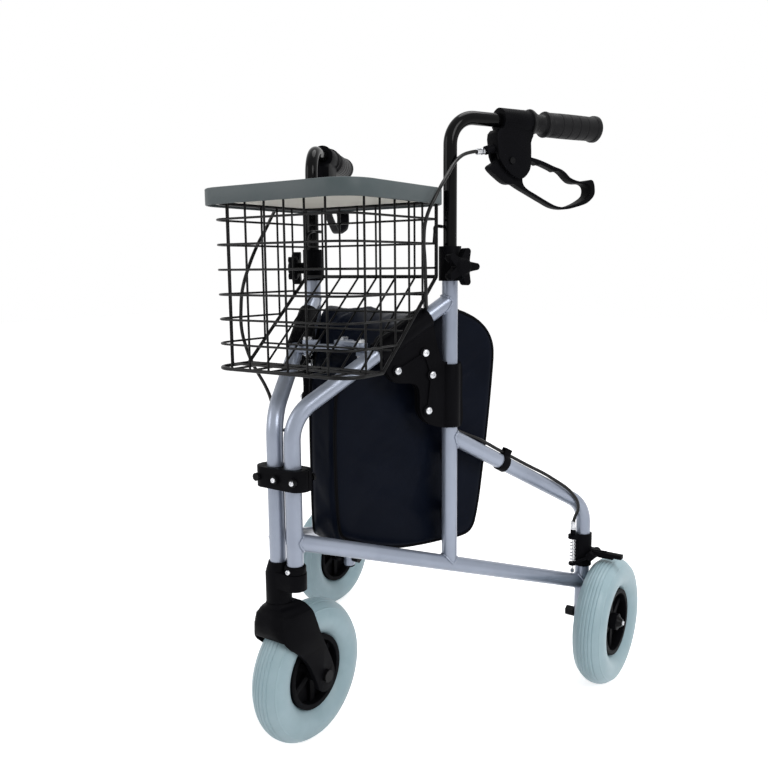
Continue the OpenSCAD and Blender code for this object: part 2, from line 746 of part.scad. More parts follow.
module brake_arm(side) {
    seat_z = spring_low_z - seat_gap - spring_seat_h;
    bar_len = wheel_out + tyre_r - arm_pivot_x;
    color(black) on_drop(side) difference() {
        union() {
            translate([arm_pivot_x, -arm_front + seat_gap, arm_pivot_z]) along_y()
                cylinder(d = arm_hub_d, h = arm_front - arm_back - seat_gap);
            translate([arm_pivot_x, -arm_back - arm_bar_w, arm_pivot_z + arm_bar_low])
                cube([bar_len, arm_bar_w, arm_bar_h]);
            translate([wheel_out - shoe_half_w, -arm_back - arm_bar_w, arm_pivot_z - shoe_drop])
                cube([2 * shoe_half_w, arm_bar_w, arm_bar_low + shoe_drop + arm_bar_h / 2]);
            translate([0, -arm_back - arm_bar_w / 2, 0])
                rod([arm_pivot_x, 0, arm_pivot_z + arm_hub_d / 2],
                    [wheel_out, 0, arm_pivot_z + arm_bar_low + arm_bar_h], arm_strut_d);
            translate([spring_x, spring_y, seat_z]) cylinder(r = arm_seat_r, h = spring_seat_h);
            rod([spring_x, -arm_front + spring_seat_h / 2, seat_z + spring_seat_h / 2],
                [arm_pivot_x, -arm_front + spring_seat_h / 2, arm_pivot_z], spring_seat_h);
        }
        translate([arm_pivot_x, -arm_front - overrun, arm_pivot_z]) along_y()
            cylinder(d = arm_pin_d + 2 * run_fit, h = arm_front + overrun);
    }
}

function spring_path() =
    let (h = spring_top_z - spring_low_z - 2 * spring_wire_d, count = spring_turns * spring_rings)
    concat([[spring_r, 0, 0]],
        [for (i = [0 : count]) [spring_r * cos(360 * i / spring_rings), spring_r * sin(360 * i / spring_rings),
            spring_wire_d + h * i / count]],
        [[spring_r * cos(360 * spring_turns), spring_r * sin(360 * spring_turns), h + 2 * spring_wire_d]]);
module brake_spring(side) {
    path = spring_path();
    last = len(path) - 1;
    apart = [for (i = [0 : last], j = [i + spring_rings - 1 : 1 : last]) norm(path[i] - path[j])];
    echo("brake spring, least gap to itself", min(apart) - spring_wire_d);
    color(zinc) on_drop(side) translate([spring_x, spring_y, spring_low_z])
        sweep(path, spring_wire_d, spring_sides, [0.1, 0.05, 1]);
}

// Wheels, about an axle along X
module wheel_hub(side) {
    bore = axle_d + 2 * run_fit;
    seat = rim_r + rim_seat;
    color(black) sided(side) along_x() difference() {
        union() {
            rotate_extrude() difference() {
                translate([seat - rim_wall, -rim_half_w]) square([rim_wall, 2 * rim_half_w]);
                translate([seat - rim_wall, 0]) circle(r = rim_wall / 2);
            }
            for (i = [0 : spoke_count - 1]) rotate([0, 0, i * 360 / spoke_count])
                translate([0, -spoke_w / 2, -spoke_half_h])
                    cube([seat - rim_wall / 2, spoke_w, 2 * spoke_half_h]);
            translate([0, 0, -hub_half_w]) cylinder(r = hub_boss_r, h = 2 * hub_half_w);
            translate([0, 0, -spoke_half_h / 4]) cylinder(r = seat - rim_wall / 2, h = spoke_half_h / 2);
        }
        translate([0, 0, -2 * hub_half_w]) cylinder(d = bore, h = 4 * hub_half_w);
    }
}
module wheel_tyre(side) {
    seat = rim_r + rim_seat + weld_gap;
    color(tyre_grey) sided(side) along_x() rotate_extrude($fn = 96) difference() {
        translate([wheel_r - tyre_r, 0]) circle(r = tyre_r);
        translate([0, -tyre_w]) square([seat, 2 * tyre_w]);
        for (i = [0 : grooves - 1]) let (off = (i - (grooves - 1) / 2) * groove_pitch)
            translate([wheel_r - tyre_r + sqrt(tyre_r * tyre_r - off * off) - groove_depth, off - groove_w / 2])
                square([tyre_r, groove_w]);
    }
}
module rear_place(side) {
    translate([side * rear_wheel_x, hinge_y + wheel_base, wheel_r]) children();
}
module rear_axle(side) {
    outer = wheel_out + hub_half_w;
    color(zinc) on_drop(side) translate([0, 0, wheel_r]) along_x() {
        translate([0, 0, -frame_r - nut_h]) cylinder(d = axle_d, h = outer + frame_r + nut_h);
        translate([0, 0, frame_r + seat_gap])
            cylinder(d = axle_shoulder_d, h = wheel_out - hub_half_w - frame_r - 2 * seat_gap);
        translate([0, 0, outer + seat_gap]) {
            cylinder(d1 = 2 * hub_cap_r, d2 = hub_cap_r, h = hub_cap_h);
            translate([0, 0, -seat_gap - overrun]) cylinder(d = axle_d, h = seat_gap + overrun);
        }
        translate([0, 0, -frame_r - nut_h - seat_gap]) cylinder(d = nut_d, h = nut_h, $fn = 6);
    }
}
module front_place() {
    translate([-hinge_x, hinge_y + trail, wheel_r]) children();
}
module front_axle() {
    color(zinc) front_place() along_x() {
        translate([0, 0, -fork_half_w - axle_head_h]) cylinder(d = axle_d, h = 2 * (fork_half_w + axle_head_h));
        for (end = [-1, 1]) {
            translate([0, 0, end * (fork_half_w + weld_gap + axle_head_h / 2) - axle_head_h / 2])
                cylinder(d = nut_d, h = axle_head_h);
            translate([0, 0, end * (hub_half_w + fork_half_w - fork_leg_w) / 2 - bush_half])
                cylinder(d = axle_shoulder_d, h = 2 * bush_half);
        }
    }
}

// Front castor
module fork() {
    inner_half = fork_half_w - fork_leg_w;
    h = fork_top_z - wheel_r;
    color(black) translate([-hinge_x, hinge_y, 0]) difference() {
        union() {
            intersection() {
                translate([-fork_half_w, 0, wheel_r]) in_plane() linear_extrude(height = 2 * fork_half_w)
                    polygon(closed_curve(scaled_shares(fork_side_shares, fork_reach, h), outline_steps));
                translate([0, fork_reach, 0]) rotate([90, 0, 0]) linear_extrude(height = 2 * fork_reach)
                    fork_front();
            }
            for (x = [-fork_half_w, inner_half]) translate([x, trail, wheel_r]) along_x()
                cylinder(d = fork_boss_d, h = fork_leg_w);
            translate([0, 0, fork_top_z]) cylinder(d = stem_d, h = stem_top_z - fork_top_z);
        }
        translate([-inner_half, trail, wheel_r]) along_x()
            cylinder(r = wheel_r + fork_wheel_gap, h = 2 * inner_half);
        translate([-2 * fork_half_w, trail, wheel_r]) along_x()
            cylinder(d = axle_d + 2 * weld_gap, h = 4 * fork_half_w);
    }
}
// The fork seen from the front: straight legs under rounded shoulders
module fork_front() {
    shoulder_z = fork_top_z - fork_shoulder_r;
    flat = fork_half_w - fork_shoulder_r;
    translate([-fork_half_w, 0]) square([2 * fork_half_w, shoulder_z]);
    translate([-flat, 0]) square([2 * flat, fork_top_z]);
    for (x = [-flat, flat]) translate([x, shoulder_z]) circle(r = fork_shoulder_r);
}
// Socket for the right front tube and the castor stem, with an arm and peg for the left front tube
module fork_head() {
    peg_d = frame_d - 2 * frame_wall - 2 * hinge_fit;
    arm_low = left_foot_z - seat_gap - head_arm_h;
    color(black) translate([0, hinge_y, 0]) difference() {
        union() {
            translate([-hinge_x, 0, socket_low_z]) cylinder(d = socket_d, h = socket_shoulder_z - socket_low_z);
            translate([-hinge_x, 0, socket_shoulder_z])
                cylinder(d1 = socket_d, d2 = socket_neck_d, h = socket_top_z - socket_shoulder_z);
            translate([-hinge_x, -head_arm_w / 2, arm_low]) cube([2 * hinge_x, head_arm_w, head_arm_h]);
            translate([hinge_x, 0, arm_low]) cylinder(d = head_arm_w, h = head_arm_h);
            translate([hinge_x, 0, left_foot_z - seat_gap]) cylinder(d = peg_d, h = head_arm_h);
        }
        translate([-hinge_x, 0, right_foot_z - seat_gap])
            cylinder(d = frame_d + 2 * hinge_fit, h = frame_d * 2);
        translate([-hinge_x, 0, socket_low_z - overrun])
            cylinder(d = stem_d + 2 * run_fit, h = stem_top_z - socket_low_z + seat_gap + overrun);
        translate([hinge_x, 0, left_foot_z - seat_gap]) difference() {
            cylinder(d = frame_d + 2 * hinge_fit, h = head_arm_h);
            cylinder(d = peg_d, h = head_arm_h);
        }
    }
}
// Hinge clamp round both front tubes, in two halves
module hinge_clamp(face) {
    color(black) translate([0, hinge_y, clamp_low_z]) difference() {
        linear_extrude(height = clamp_h) difference() {
            rounded_rect(2 * clamp_half_w, 2 * clamp_depth, clamp_depth - clamp_split);
            for (x = [-hinge_x, hinge_x]) translate([x, 0]) circle(d = frame_d + 2 * hinge_fit);
            translate([-2 * clamp_half_w, face > 0 ? -clamp_depth * 2 : -clamp_split])
                square([4 * clamp_half_w, clamp_depth * 2 + clamp_split]);
        }
        for (x = [-clamp_bolt_x, 0, clamp_bolt_x]) translate([x, -2 * clamp_depth, clamp_h / 2]) along_y()
            cylinder(d = clamp_bolt_d + 2 * weld_gap, h = 4 * clamp_depth);
    }
}
module hinge_clamp_bolts() {
    color(zinc) translate([0, hinge_y, clamp_low_z + clamp_h / 2])
        for (x = [-clamp_bolt_x, 0, clamp_bolt_x]) translate([x, -clamp_depth, 0]) along_y() {
            translate([0, 0, -clamp_head_h]) cylinder(d = clamp_bolt_d, h = 2 * (clamp_depth + clamp_head_h));
            translate([0, 0, -clamp_head_h - weld_gap]) cylinder(d = clamp_head_d, h = clamp_head_h);
            translate([0, 0, 2 * clamp_depth + weld_gap]) cylinder(d = clamp_head_d, h = clamp_head_h);
        }
}

// Folding brace: two links that meet in a lap joint
brace_x = hinge_x + brace_s * sin(splay) - brace_in * cos(splay);
brace_len = brace_x / cos(brace_start_a);
module brace_link(side) {
    half_h = (brace_h - brace_lap_gap) / 2;
    lap_z = side > 0 ? half_h + brace_lap_gap : 0;
    color(silver) on_frame(side) translate([-brace_in, brace_s, brace_low_z])
        rotate([0, 0, splay + 90 + (90 - brace_start_a)]) difference() {
            union() {
                cylinder(r = brace_eye_r, h = brace_h);
                translate([0, -brace_w / 2, 0]) cube([brace_full, brace_w, brace_h]);
                translate([0, -brace_w / 2, lap_z]) cube([brace_len, brace_w, half_h]);
                translate([brace_len, 0, lap_z]) cylinder(r = brace_ring_r, h = half_h);
                if (side > 0) translate([brace_len, 0, 0]) cylinder(d = brace_pin_d, h = brace_h);
            }
            translate([0, 0, -overrun]) cylinder(d = brace_stud_d + 2 * run_fit, h = brace_h + 2 * overrun);
            if (side < 0) translate([brace_len, 0, -overrun])
                cylinder(r = brace_slot_r, h = brace_h + 2 * overrun);
        }
}

// Basket of welded wire, one panel to a face
module wire(p, q) {
    rod(p, q, wire_d, $fn = 8);
}
module rim_wire(p, q) {
    rod(p, q, rim_wire_d, $fn = 8);
}
lap = wire_d * wire_lap;
inner_half = basket_x - rim_wire_d / 2 - weld_gap;
row_half = min(inner_half, basket_x - lap - wire_d / 2 - weld_gap);
side_start = basket_front + basket_r + weld_gap;
side_columns = floor((basket_back_y - side_start) / wire_pitch);
function column_x(i) = (i - (basket_wires - 1) / 2) * wire_pitch;
function row_z(i) = basket_floor_z + i * wire_pitch;
function slope_y(z) =
    basket_kink + (z - basket_floor_z) * (basket_back_y - basket_kink) / (basket_heel_z - basket_floor_z);
function floor_at(y) = y < basket_kink ? basket_floor_z
    : basket_floor_z + (y - basket_kink) * (basket_heel_z - basket_floor_z) / (basket_back_y - basket_kink);
module basket_place() {
    color(black) translate([0, hinge_y, 0]) children();
}
// One wire across the front and round both front corners
module front_row(z, d) {
    flat = basket_x - basket_r;
    rod([-flat, basket_front, z], [flat, basket_front, z], d);
    for (side = [-1, 1]) translate([side * flat, basket_front + basket_r, z])
        rotate([0, 0, side > 0 ? -90 : 180])
            rotate_extrude(angle = 90) translate([basket_r, 0]) circle(d = d);
}
module basket_front_panel() {
    basket_place() {
        for (i = [0 : basket_wires - 1])
            wire([column_x(i), basket_front + lap, basket_floor_z],
                [column_x(i), basket_front + lap, basket_top_z]);
        for (i = [1 : basket_rows]) front_row(row_z(i), wire_d);
        for (z = [basket_floor_z, basket_top_z]) front_row(z, rim_wire_d);
    }
}
module basket_side_panel(side) {
    basket_place() sided(side) {
        rim_wire([basket_x, side_start, basket_floor_z], [basket_x, basket_kink, basket_floor_z]);
        rim_wire([basket_x, basket_kink, basket_floor_z], [basket_x, basket_back_y, basket_heel_z]);
        rim_wire([basket_x, basket_back_y, basket_heel_z], [basket_x, basket_back_y, basket_top_z]);
        rim_wire([basket_x, side_start, basket_top_z], [basket_x, basket_back_y, basket_top_z]);
        for (i = [1 : basket_rows])
            wire([basket_x, side_start, row_z(i)], [basket_x, min(basket_back_y, slope_y(row_z(i))), row_z(i)]);
        for (i = [1 : side_columns]) let (y = basket_back_y - i * wire_pitch)
            wire([basket_x - lap, y, floor_at(y)], [basket_x - lap, y, basket_top_z]);
    }
}
module basket_floor_panel() {
    near = basket_front + max(rim_wire_d / 2, lap + wire_d / 2) + weld_gap;
    mid = (near + basket_kink) / 2;
    basket_place() {
        for (i = [0 : basket_wires - 1])
            wire([column_x(i), near, basket_floor_z], [column_x(i), basket_kink, basket_floor_z]);
        rim_wire([-row_half, basket_kink, basket_floor_z], [row_half, basket_kink, basket_floor_z]);
        wire([-row_half, mid, basket_floor_z + lap], [row_half, mid, basket_floor_z + lap]);
    }
}
module basket_slope_panel() {
    run_y = basket_back_y - basket_kink;
    run_z = basket_heel_z - basket_floor_z;
    along = unit([0, run_y, run_z]);
    near = [0, basket_kink, basket_floor_z] + along * (rim_wire_d / 2 + weld_gap);
    far = [0, basket_back_y, basket_heel_z] - along * (rim_wire_d / 2 + weld_gap);
    rows = round(norm(far - near) / wire_pitch);
    lift = unit([0, -run_z, run_y]) * lap;
    basket_place() {
        for (i = [0 : basket_wires - 1]) wire(near + [column_x(i), 0, 0], far + [column_x(i), 0, 0]);
        for (i = [1 : rows - 1]) let (mid = near + (far - near) * i / rows + lift)
            wire(mid - [inner_half, 0, 0], mid + [inner_half, 0, 0]);
    }
}
module basket_back_panel() {
    basket_place() {
        for (i = [0 : basket_wires - 1]) wire([column_x(i), basket_back_y - lap, basket_heel_z],
            [column_x(i), basket_back_y - lap, basket_top_z]);
        for (z = [basket_heel_z, basket_top_z])
            rim_wire([-inner_half, basket_back_y, z], [inner_half, basket_back_y, z]);
        for (i = [1 : basket_rows]) if (row_z(i) > basket_heel_z + rim_wire_d + wire_d)
            wire([-inner_half, basket_back_y, row_z(i)], [inner_half, basket_back_y, row_z(i)]);
    }
}

// Tray with a recessed top, and a skirt that hangs round the basket's rim
module tray() {
    depth_y = basket_back_y + tray_back_gap - basket_front + tray_front_gap;
    mid_y = (basket_back_y + tray_back_gap + basket_front - tray_front_gap) / 2;
    floor_top = tray_drop + tray_floor_t;
    color(tray_grey) translate([0, hinge_y + mid_y, tray_z - tray_h]) difference() {
        linear_extrude(height = tray_h) rounded_rect(2 * tray_x, depth_y, tray_r);
        translate([0, 0, floor_top]) linear_extrude(height = tray_h - floor_top + overrun)
            rounded_rect(2 * (tray_x - tray_wall), depth_y - 2 * tray_wall, tray_r - tray_wall);
        translate([0, 0, -overrun]) linear_extrude(height = tray_drop + overrun)
            rounded_rect(2 * (tray_x - tray_wall), depth_y - 2 * tray_wall, tray_r - tray_wall);
    }
}

// Bag hung between the side frames, with webbing tabs to the uprights
function bag_half(y, gap) = hinge_x + y * tan(splay) - gap / cos(splay);
module bag_corner(y, z) {
    for (side = [-1, 1]) translate([side * (bag_half(y, bag_side_gap) - bag_r), y, z])
        sphere(r = bag_r, $fn = 20);
}
module bag() {
    color(cloth) {
        translate([0, hinge_y, 0]) hull() {
            bag_corner(bag_front_low, bag_front_low_z);
            bag_corner(bag_front_top, bag_front_top_z);
            bag_corner(bag_brow, bag_brow_z);
            bag_corner(bag_back - bag_r, bag_top_z - bag_r - (bag_top_z - bag_brow_z) / 2);
            bag_corner((bag_brow + bag_back) / 2, bag_top_z - bag_r);
            bag_corner(bag_heel, bag_low_z + bag_r);
            bag_corner(bag_keel, bag_low_z + bag_r);
        }
        for (side = [-1, 1], z = tab_places) on_frame(side)
            translate([-bag_side_gap - bag_r, upright_s - tab_w / 2, z])
                cube([bag_side_gap + bag_r - frame_r - seat_gap, tab_w, tab_h]);
    }
}

fork_head();
hinge_clamp(-1);  // hinge_clamp_front
hinge_clamp(1);  // hinge_clamp_rear
hinge_clamp_bolts();
fork();
front_axle();
front_place() wheel_hub(1);  // front_hub
front_place() wheel_tyre(1);  // front_tyre
front_tube(1);  // left_front_tube
upright(1);  // left_upright
lower_tube(1);  // left_lower_tube
rear_stay(1);  // left_rear_stay
gusset(1, 1);  // left_gusset_outer
gusset(1, -1);  // left_gusset_inner
height_collar(1);  // left_height_collar
height_knob(1);  // left_height_knob
handle_tube(1);  // left_handle_tube
grip(1);  // left_grip
brake_housing(1);  // left_brake_housing
brake_lever(1);  // left_brake_lever
lever_pin(1);  // left_lever_pin
brake_cable(1);  // left_brake_cable
cable_clip(1);  // left_cable_clip
brake_bracket(1);  // left_brake_bracket
brake_arm(1);  // left_brake_arm
brake_spring(1);  // left_brake_spring
rear_axle(1);  // left_rear_axle
rear_place(1) wheel_hub(1);  // left_rear_hub
rear_place(1) wheel_tyre(1);  // left_rear_tyre
brace_link(1);  // left_brace_link
front_tube(-1);  // right_front_tube
upright(-1);  // right_upright
lower_tube(-1);  // right_lower_tube
rear_stay(-1);  // right_rear_stay
gusset(-1, 1);  // right_gusset_outer
gusset(-1, -1);  // right_gusset_inner
height_collar(-1);  // right_height_collar
height_knob(-1);  // right_height_knob
handle_tube(-1);  // right_handle_tube
grip(-1);  // right_grip
brake_housing(-1);  // right_brake_housing
brake_lever(-1);  // right_brake_lever
lever_pin(-1);  // right_lever_pin
brake_cable(-1);  // right_brake_cable
cable_clip(-1);  // right_cable_clip
brake_bracket(-1);  // right_brake_bracket
brake_arm(-1);  // right_brake_arm
brake_spring(-1);  // right_brake_spring
rear_axle(-1);  // right_rear_axle
rear_place(-1) wheel_hub(-1);  // right_rear_hub
rear_place(-1) wheel_tyre(-1);  // right_rear_tyre
brace_link(-1);  // right_brace_link
basket_front_panel();
basket_side_panel(1);  // basket_left_panel
basket_side_panel(-1);  // basket_right_panel
basket_floor_panel();
basket_slope_panel();
basket_back_panel();
tray();
bag();
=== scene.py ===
import json
import math

import bmesh
import bpy
from mathutils import Matrix, Vector, noise

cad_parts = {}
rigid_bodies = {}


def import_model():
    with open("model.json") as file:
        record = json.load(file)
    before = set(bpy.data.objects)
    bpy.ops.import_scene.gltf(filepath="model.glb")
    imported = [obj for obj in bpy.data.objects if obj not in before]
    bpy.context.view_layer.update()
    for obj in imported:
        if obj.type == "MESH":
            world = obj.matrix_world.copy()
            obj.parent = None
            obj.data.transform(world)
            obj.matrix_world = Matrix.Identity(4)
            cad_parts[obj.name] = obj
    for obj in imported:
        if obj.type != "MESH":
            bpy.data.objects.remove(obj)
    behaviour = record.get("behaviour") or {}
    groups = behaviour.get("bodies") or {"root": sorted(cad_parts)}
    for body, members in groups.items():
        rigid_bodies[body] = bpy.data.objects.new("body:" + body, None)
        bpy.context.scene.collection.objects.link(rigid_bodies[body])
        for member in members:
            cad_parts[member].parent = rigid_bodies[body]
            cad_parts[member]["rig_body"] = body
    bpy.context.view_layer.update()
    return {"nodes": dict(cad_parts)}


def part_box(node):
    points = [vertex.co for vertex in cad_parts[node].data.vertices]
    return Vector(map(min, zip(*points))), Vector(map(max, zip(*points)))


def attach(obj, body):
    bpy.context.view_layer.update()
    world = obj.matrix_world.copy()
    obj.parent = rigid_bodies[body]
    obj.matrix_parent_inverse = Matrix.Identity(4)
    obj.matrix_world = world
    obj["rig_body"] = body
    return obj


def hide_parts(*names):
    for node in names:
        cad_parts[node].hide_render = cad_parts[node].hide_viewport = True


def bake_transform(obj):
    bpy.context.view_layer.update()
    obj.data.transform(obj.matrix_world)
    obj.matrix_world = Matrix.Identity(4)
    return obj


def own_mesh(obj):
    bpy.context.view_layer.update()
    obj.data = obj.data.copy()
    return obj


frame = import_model()
nodes = frame["nodes"]
scene = bpy.context.scene
scene.view_settings.view_transform = "Standard"

# Camera at the photograph's angle, for a square picture
view = {
    "spot": (0.6905, -1.0134, 0.6607),
    "azimuth": 34.82,
    "pitch": 8.23,
    "roll": -0.53,
    "lens": 37.94,
    "sensor": 36.0,
}


def addCamera(v):
    data = bpy.data.cameras.new("view")
    data.lens = v["lens"]
    data.sensor_width = v["sensor"]
    camera = bpy.data.objects.new("view", data)
    turn = Matrix.Rotation(math.radians(v["azimuth"]), 4, "Z")
    tilt = Matrix.Rotation(math.radians(90 - v["pitch"]), 4, "X")
    roll = Matrix.Rotation(math.radians(v["roll"]), 4, "Z")
    camera.matrix_world = Matrix.Translation(v["spot"]) @ turn @ tilt @ roll
    scene.collection.objects.link(camera)
    scene.camera = camera


addCamera(view)

# Studio: pale floor, white surround, soft lamps at a plain level
studio = {
    "floorHalf": 9.0,
    "floorColour": (0.86, 0.86, 0.87, 1.0),
    "floorRough": 0.9,
    "floorShine": 0.1,
    "floorLift": 0.72,
    "surround": 0.38,
    "lamps": [
        # place, aim, size, watts
        ((2.3, -0.9, 1.9), (0.0, 0.0, 0.45), 1.3, 31.0),
        ((-1.9, -2.1, 1.5), (0.0, 0.0, 0.40), 1.6, 19.0),
        ((0.2, 0.5, 2.6), (0.0, 0.0, 0.50), 1.4, 23.0),
    ],
}


def seenByEye(tree):
    path = tree.nodes.new("ShaderNodeLightPath")
    one = tree.nodes.new("ShaderNodeMath")
    two = tree.nodes.new("ShaderNodeMath")
    for node, a, b in ((one, path.outputs["Is Camera Ray"], path.outputs["Is Glossy Ray"]),
                       (two, one.outputs[0], path.outputs["Is Transmission Ray"])):
        node.operation = "MAXIMUM"
        tree.links.new(a, node.inputs[0])
        tree.links.new(b, node.inputs[1])
    return two.outputs[0]


def addStudio(s):
    world = bpy.data.worlds.new("surround")
    scene.world = world
    world.use_nodes = True
    tree = world.node_tree
    back = tree.nodes["Background"]
    back.inputs["Color"].default_value = (1.0, 1.0, 1.0, 1.0)
    level = tree.nodes.new("ShaderNodeMapRange")
    level.inputs["To Min"].default_value = s["surround"]
    level.inputs["To Max"].default_value = 1.0
    tree.links.new(seenByEye(tree), level.inputs["Value"])
    tree.links.new(level.outputs["Result"], back.inputs["Strength"])

    mat = bpy.data.materials.new("pale floor")
    mat.use_nodes = True
    tree = mat.node_tree
    shader = tree.nodes["Principled BSDF"]
    shader.inputs["Base Color"].default_value = s["floorColour"]
    shader.inputs["Roughness"].default_value = s["floorRough"]
    shader.inputs["Specular IOR Level"].default_value = s["floorShine"]
    shader.inputs["Emission Color"].default_value = (1.0, 1.0, 1.0, 1.0)
    lift = tree.nodes.new("ShaderNodeMath")
    lift.operation = "MULTIPLY"
    lift.inputs[1].default_value = s["floorLift"]
    tree.links.new(seenByEye(tree), lift.inputs[0])
    tree.links.new(lift.outputs[0], shader.inputs["Emission Strength"])
    bm = bmesh.new()
    bmesh.ops.create_grid(bm, x_segments=4, y_segments=4, size=s["floorHalf"])
    mesh = bpy.data.meshes.new("floor")
    bm.to_mesh(mesh)
    bm.free()
    mesh.materials.append(mat)
    floor = bpy.data.objects.new("floor", mesh)
    scene.collection.objects.link(floor)
    for i, (spot, aim, size, watts) in enumerate(s["lamps"]):
        data = bpy.data.lights.new("lamp%d" % i, "AREA")
        data.shape = "DISK"
        data.size = size
        data.energy = watts
        lamp = bpy.data.objects.new("lamp%d" % i, data)
        lamp.location = spot
        lamp.rotation_euler = (Vector(aim) - Vector(spot)).to_track_quat("-Z", "Y").to_euler()
        scene.collection.objects.link(lamp)


addStudio(studio)
print("studio: floor, surround and", len(studio["lamps"]), "lamps")


# Side frames: out from the frame's plane, along it from the hinge line, and up
sideFrame = {"splay": 26.5, "hingeX": 0.015, "hingeY": -0.249}
sides = {"left": 1, "right": -1}


def framePoint(side, out, along, up):
    turn = math.radians(sideFrame["splay"])
    x = sideFrame["hingeX"] + along * math.sin(turn) + out * math.cos(turn)
    y = sideFrame["hingeY"] + along * math.cos(turn) - out * math.sin(turn)
    return Vector((sides[side] * x, y, up))


def frameAxis(side, out, along, up):
    return (framePoint(side, out, along, up) - framePoint(side, 0, 0, 0)).normalized()


# Shader helpers
def linear(colour):
    def one(c):
        return c / 12.92 if c <= 0.04045 else ((c + 0.055) / 1.055) ** 2.4
    return tuple(one(c / 255) for c in colour) + (1.0,)


def socketsOf(group, inputs, outputs):
    for name, kind in inputs:
        group.interface.new_socket(name, in_out="INPUT", socket_type="NodeSocket" + kind)
    for name, kind in outputs:
        group.interface.new_socket(name, in_out="OUTPUT", socket_type="NodeSocket" + kind)
    return group.nodes.new("NodeGroupInput"), group.nodes.new("NodeGroupOutput")


def grainGroup():
    group = bpy.data.node_groups.new("surface grain", "ShaderNodeTree")
    take, give = socketsOf(group, [("Vector", "Vector"), ("Fine", "Float"), ("Broad", "Float")],
                           [("Height", "Float"), ("Tone", "Float")])
    fine = group.nodes.new("ShaderNodeTexNoise")
    fine.inputs["Detail"].default_value = 3.0
    broad = group.nodes.new("ShaderNodeTexNoise")
    broad.inputs["Detail"].default_value = 4.0
    broad.inputs["Roughness"].default_value = 0.6
    link = group.links.new
    for node, scale, output in ((fine, "Fine", "Height"), (broad, "Broad", "Tone")):
        link(take.outputs["Vector"], node.inputs["Vector"])
        link(take.outputs[scale], node.inputs["Scale"])
        link(node.outputs["Fac"], give.inputs[output])
    return group


def weaveGroup():
    group = bpy.data.node_groups.new("weave", "ShaderNodeTree")
    take, give = socketsOf(group, [("Vector", "Vector"), ("Threads", "Float")], [("Height", "Float")])
    total = group.nodes.new("ShaderNodeMath")
    total.operation = "MULTIPLY"
    for i, lines in enumerate("XZ"):
        wave = group.nodes.new("ShaderNodeTexWave")
        wave.bands_direction = lines
        wave.wave_profile = "SIN"
        wave.inputs["Distortion"].default_value = 0.4
        group.links.new(take.outputs["Vector"], wave.inputs["Vector"])
        group.links.new(take.outputs["Threads"], wave.inputs["Scale"])
        group.links.new(wave.outputs["Fac"], total.inputs[i])
    group.links.new(total.outputs[0], give.inputs["Height"])
    return group


grain = grainGroup()
weave = weaveGroup()


# what a finish has where it names nothing else
plainFinish = {"metal": 0.0, "specular": 0.5, "coat": 0.0, "coatRough": 0.1, "tone": (0.32, 0.68),
               "depth": 0.0002}


def finish(name, given):
    f = {**plainFinish, **given}
    mat = bpy.data.materials.new(name)
    mat.use_nodes = True
    tree = mat.node_tree
    link = tree.links.new
    shader = tree.nodes["Principled BSDF"]
    shader.inputs["Metallic"].default_value = f["metal"]
    shader.inputs["Specular IOR Level"].default_value = f["specular"]
    shader.inputs["Coat Weight"].default_value = f["coat"]
    shader.inputs["Coat Roughness"].default_value = f["coatRough"]
    where = tree.nodes.new("ShaderNodeTexCoord")
    skin = tree.nodes.new("ShaderNodeGroup")
    skin.node_tree = grain
    skin.inputs["Fine"].default_value = f["fine"]
    skin.inputs["Broad"].default_value = f["broad"]
    link(where.outputs["Object"], skin.inputs["Vector"])
    tone = tree.nodes.new("ShaderNodeMapRange")
    tone.inputs["From Min"].default_value = f["tone"][0]
    tone.inputs["From Max"].default_value = f["tone"][1]
    link(skin.outputs["Tone"], tone.inputs["Value"])
    mix = tree.nodes.new("ShaderNodeMix")
    mix.data_type = "RGBA"
    mix.inputs["A"].default_value = linear(f["dark"])
    mix.inputs["B"].default_value = linear(f["light"])
    link(tone.outputs["Result"], mix.inputs["Factor"])
    link(mix.outputs["Result"], shader.inputs["Base Color"])
    rough = tree.nodes.new("ShaderNodeMapRange")
    rough.inputs["To Min"].default_value = f["rough"][0]
    rough.inputs["To Max"].default_value = f["rough"][1]
    link(skin.outputs["Tone"], rough.inputs["Value"])
    link(rough.outputs["Result"], shader.inputs["Roughness"])
    bump = tree.nodes.new("ShaderNodeBump")
    bump.inputs["Strength"].default_value = f["bump"]
    bump.inputs["Distance"].default_value = f["depth"]
    relief = skin
    if "threads" in f:
        relief = tree.nodes.new("ShaderNodeGroup")
        relief.node_tree = weave
        relief.inputs["Threads"].default_value = f["threads"]
        link(where.outputs["Object"], relief.inputs["Vector"])
    link(relief.outputs["Height"], bump.inputs["Height"])
    link(bump.outputs["Normal"], shader.inputs["Normal"])
    return mat


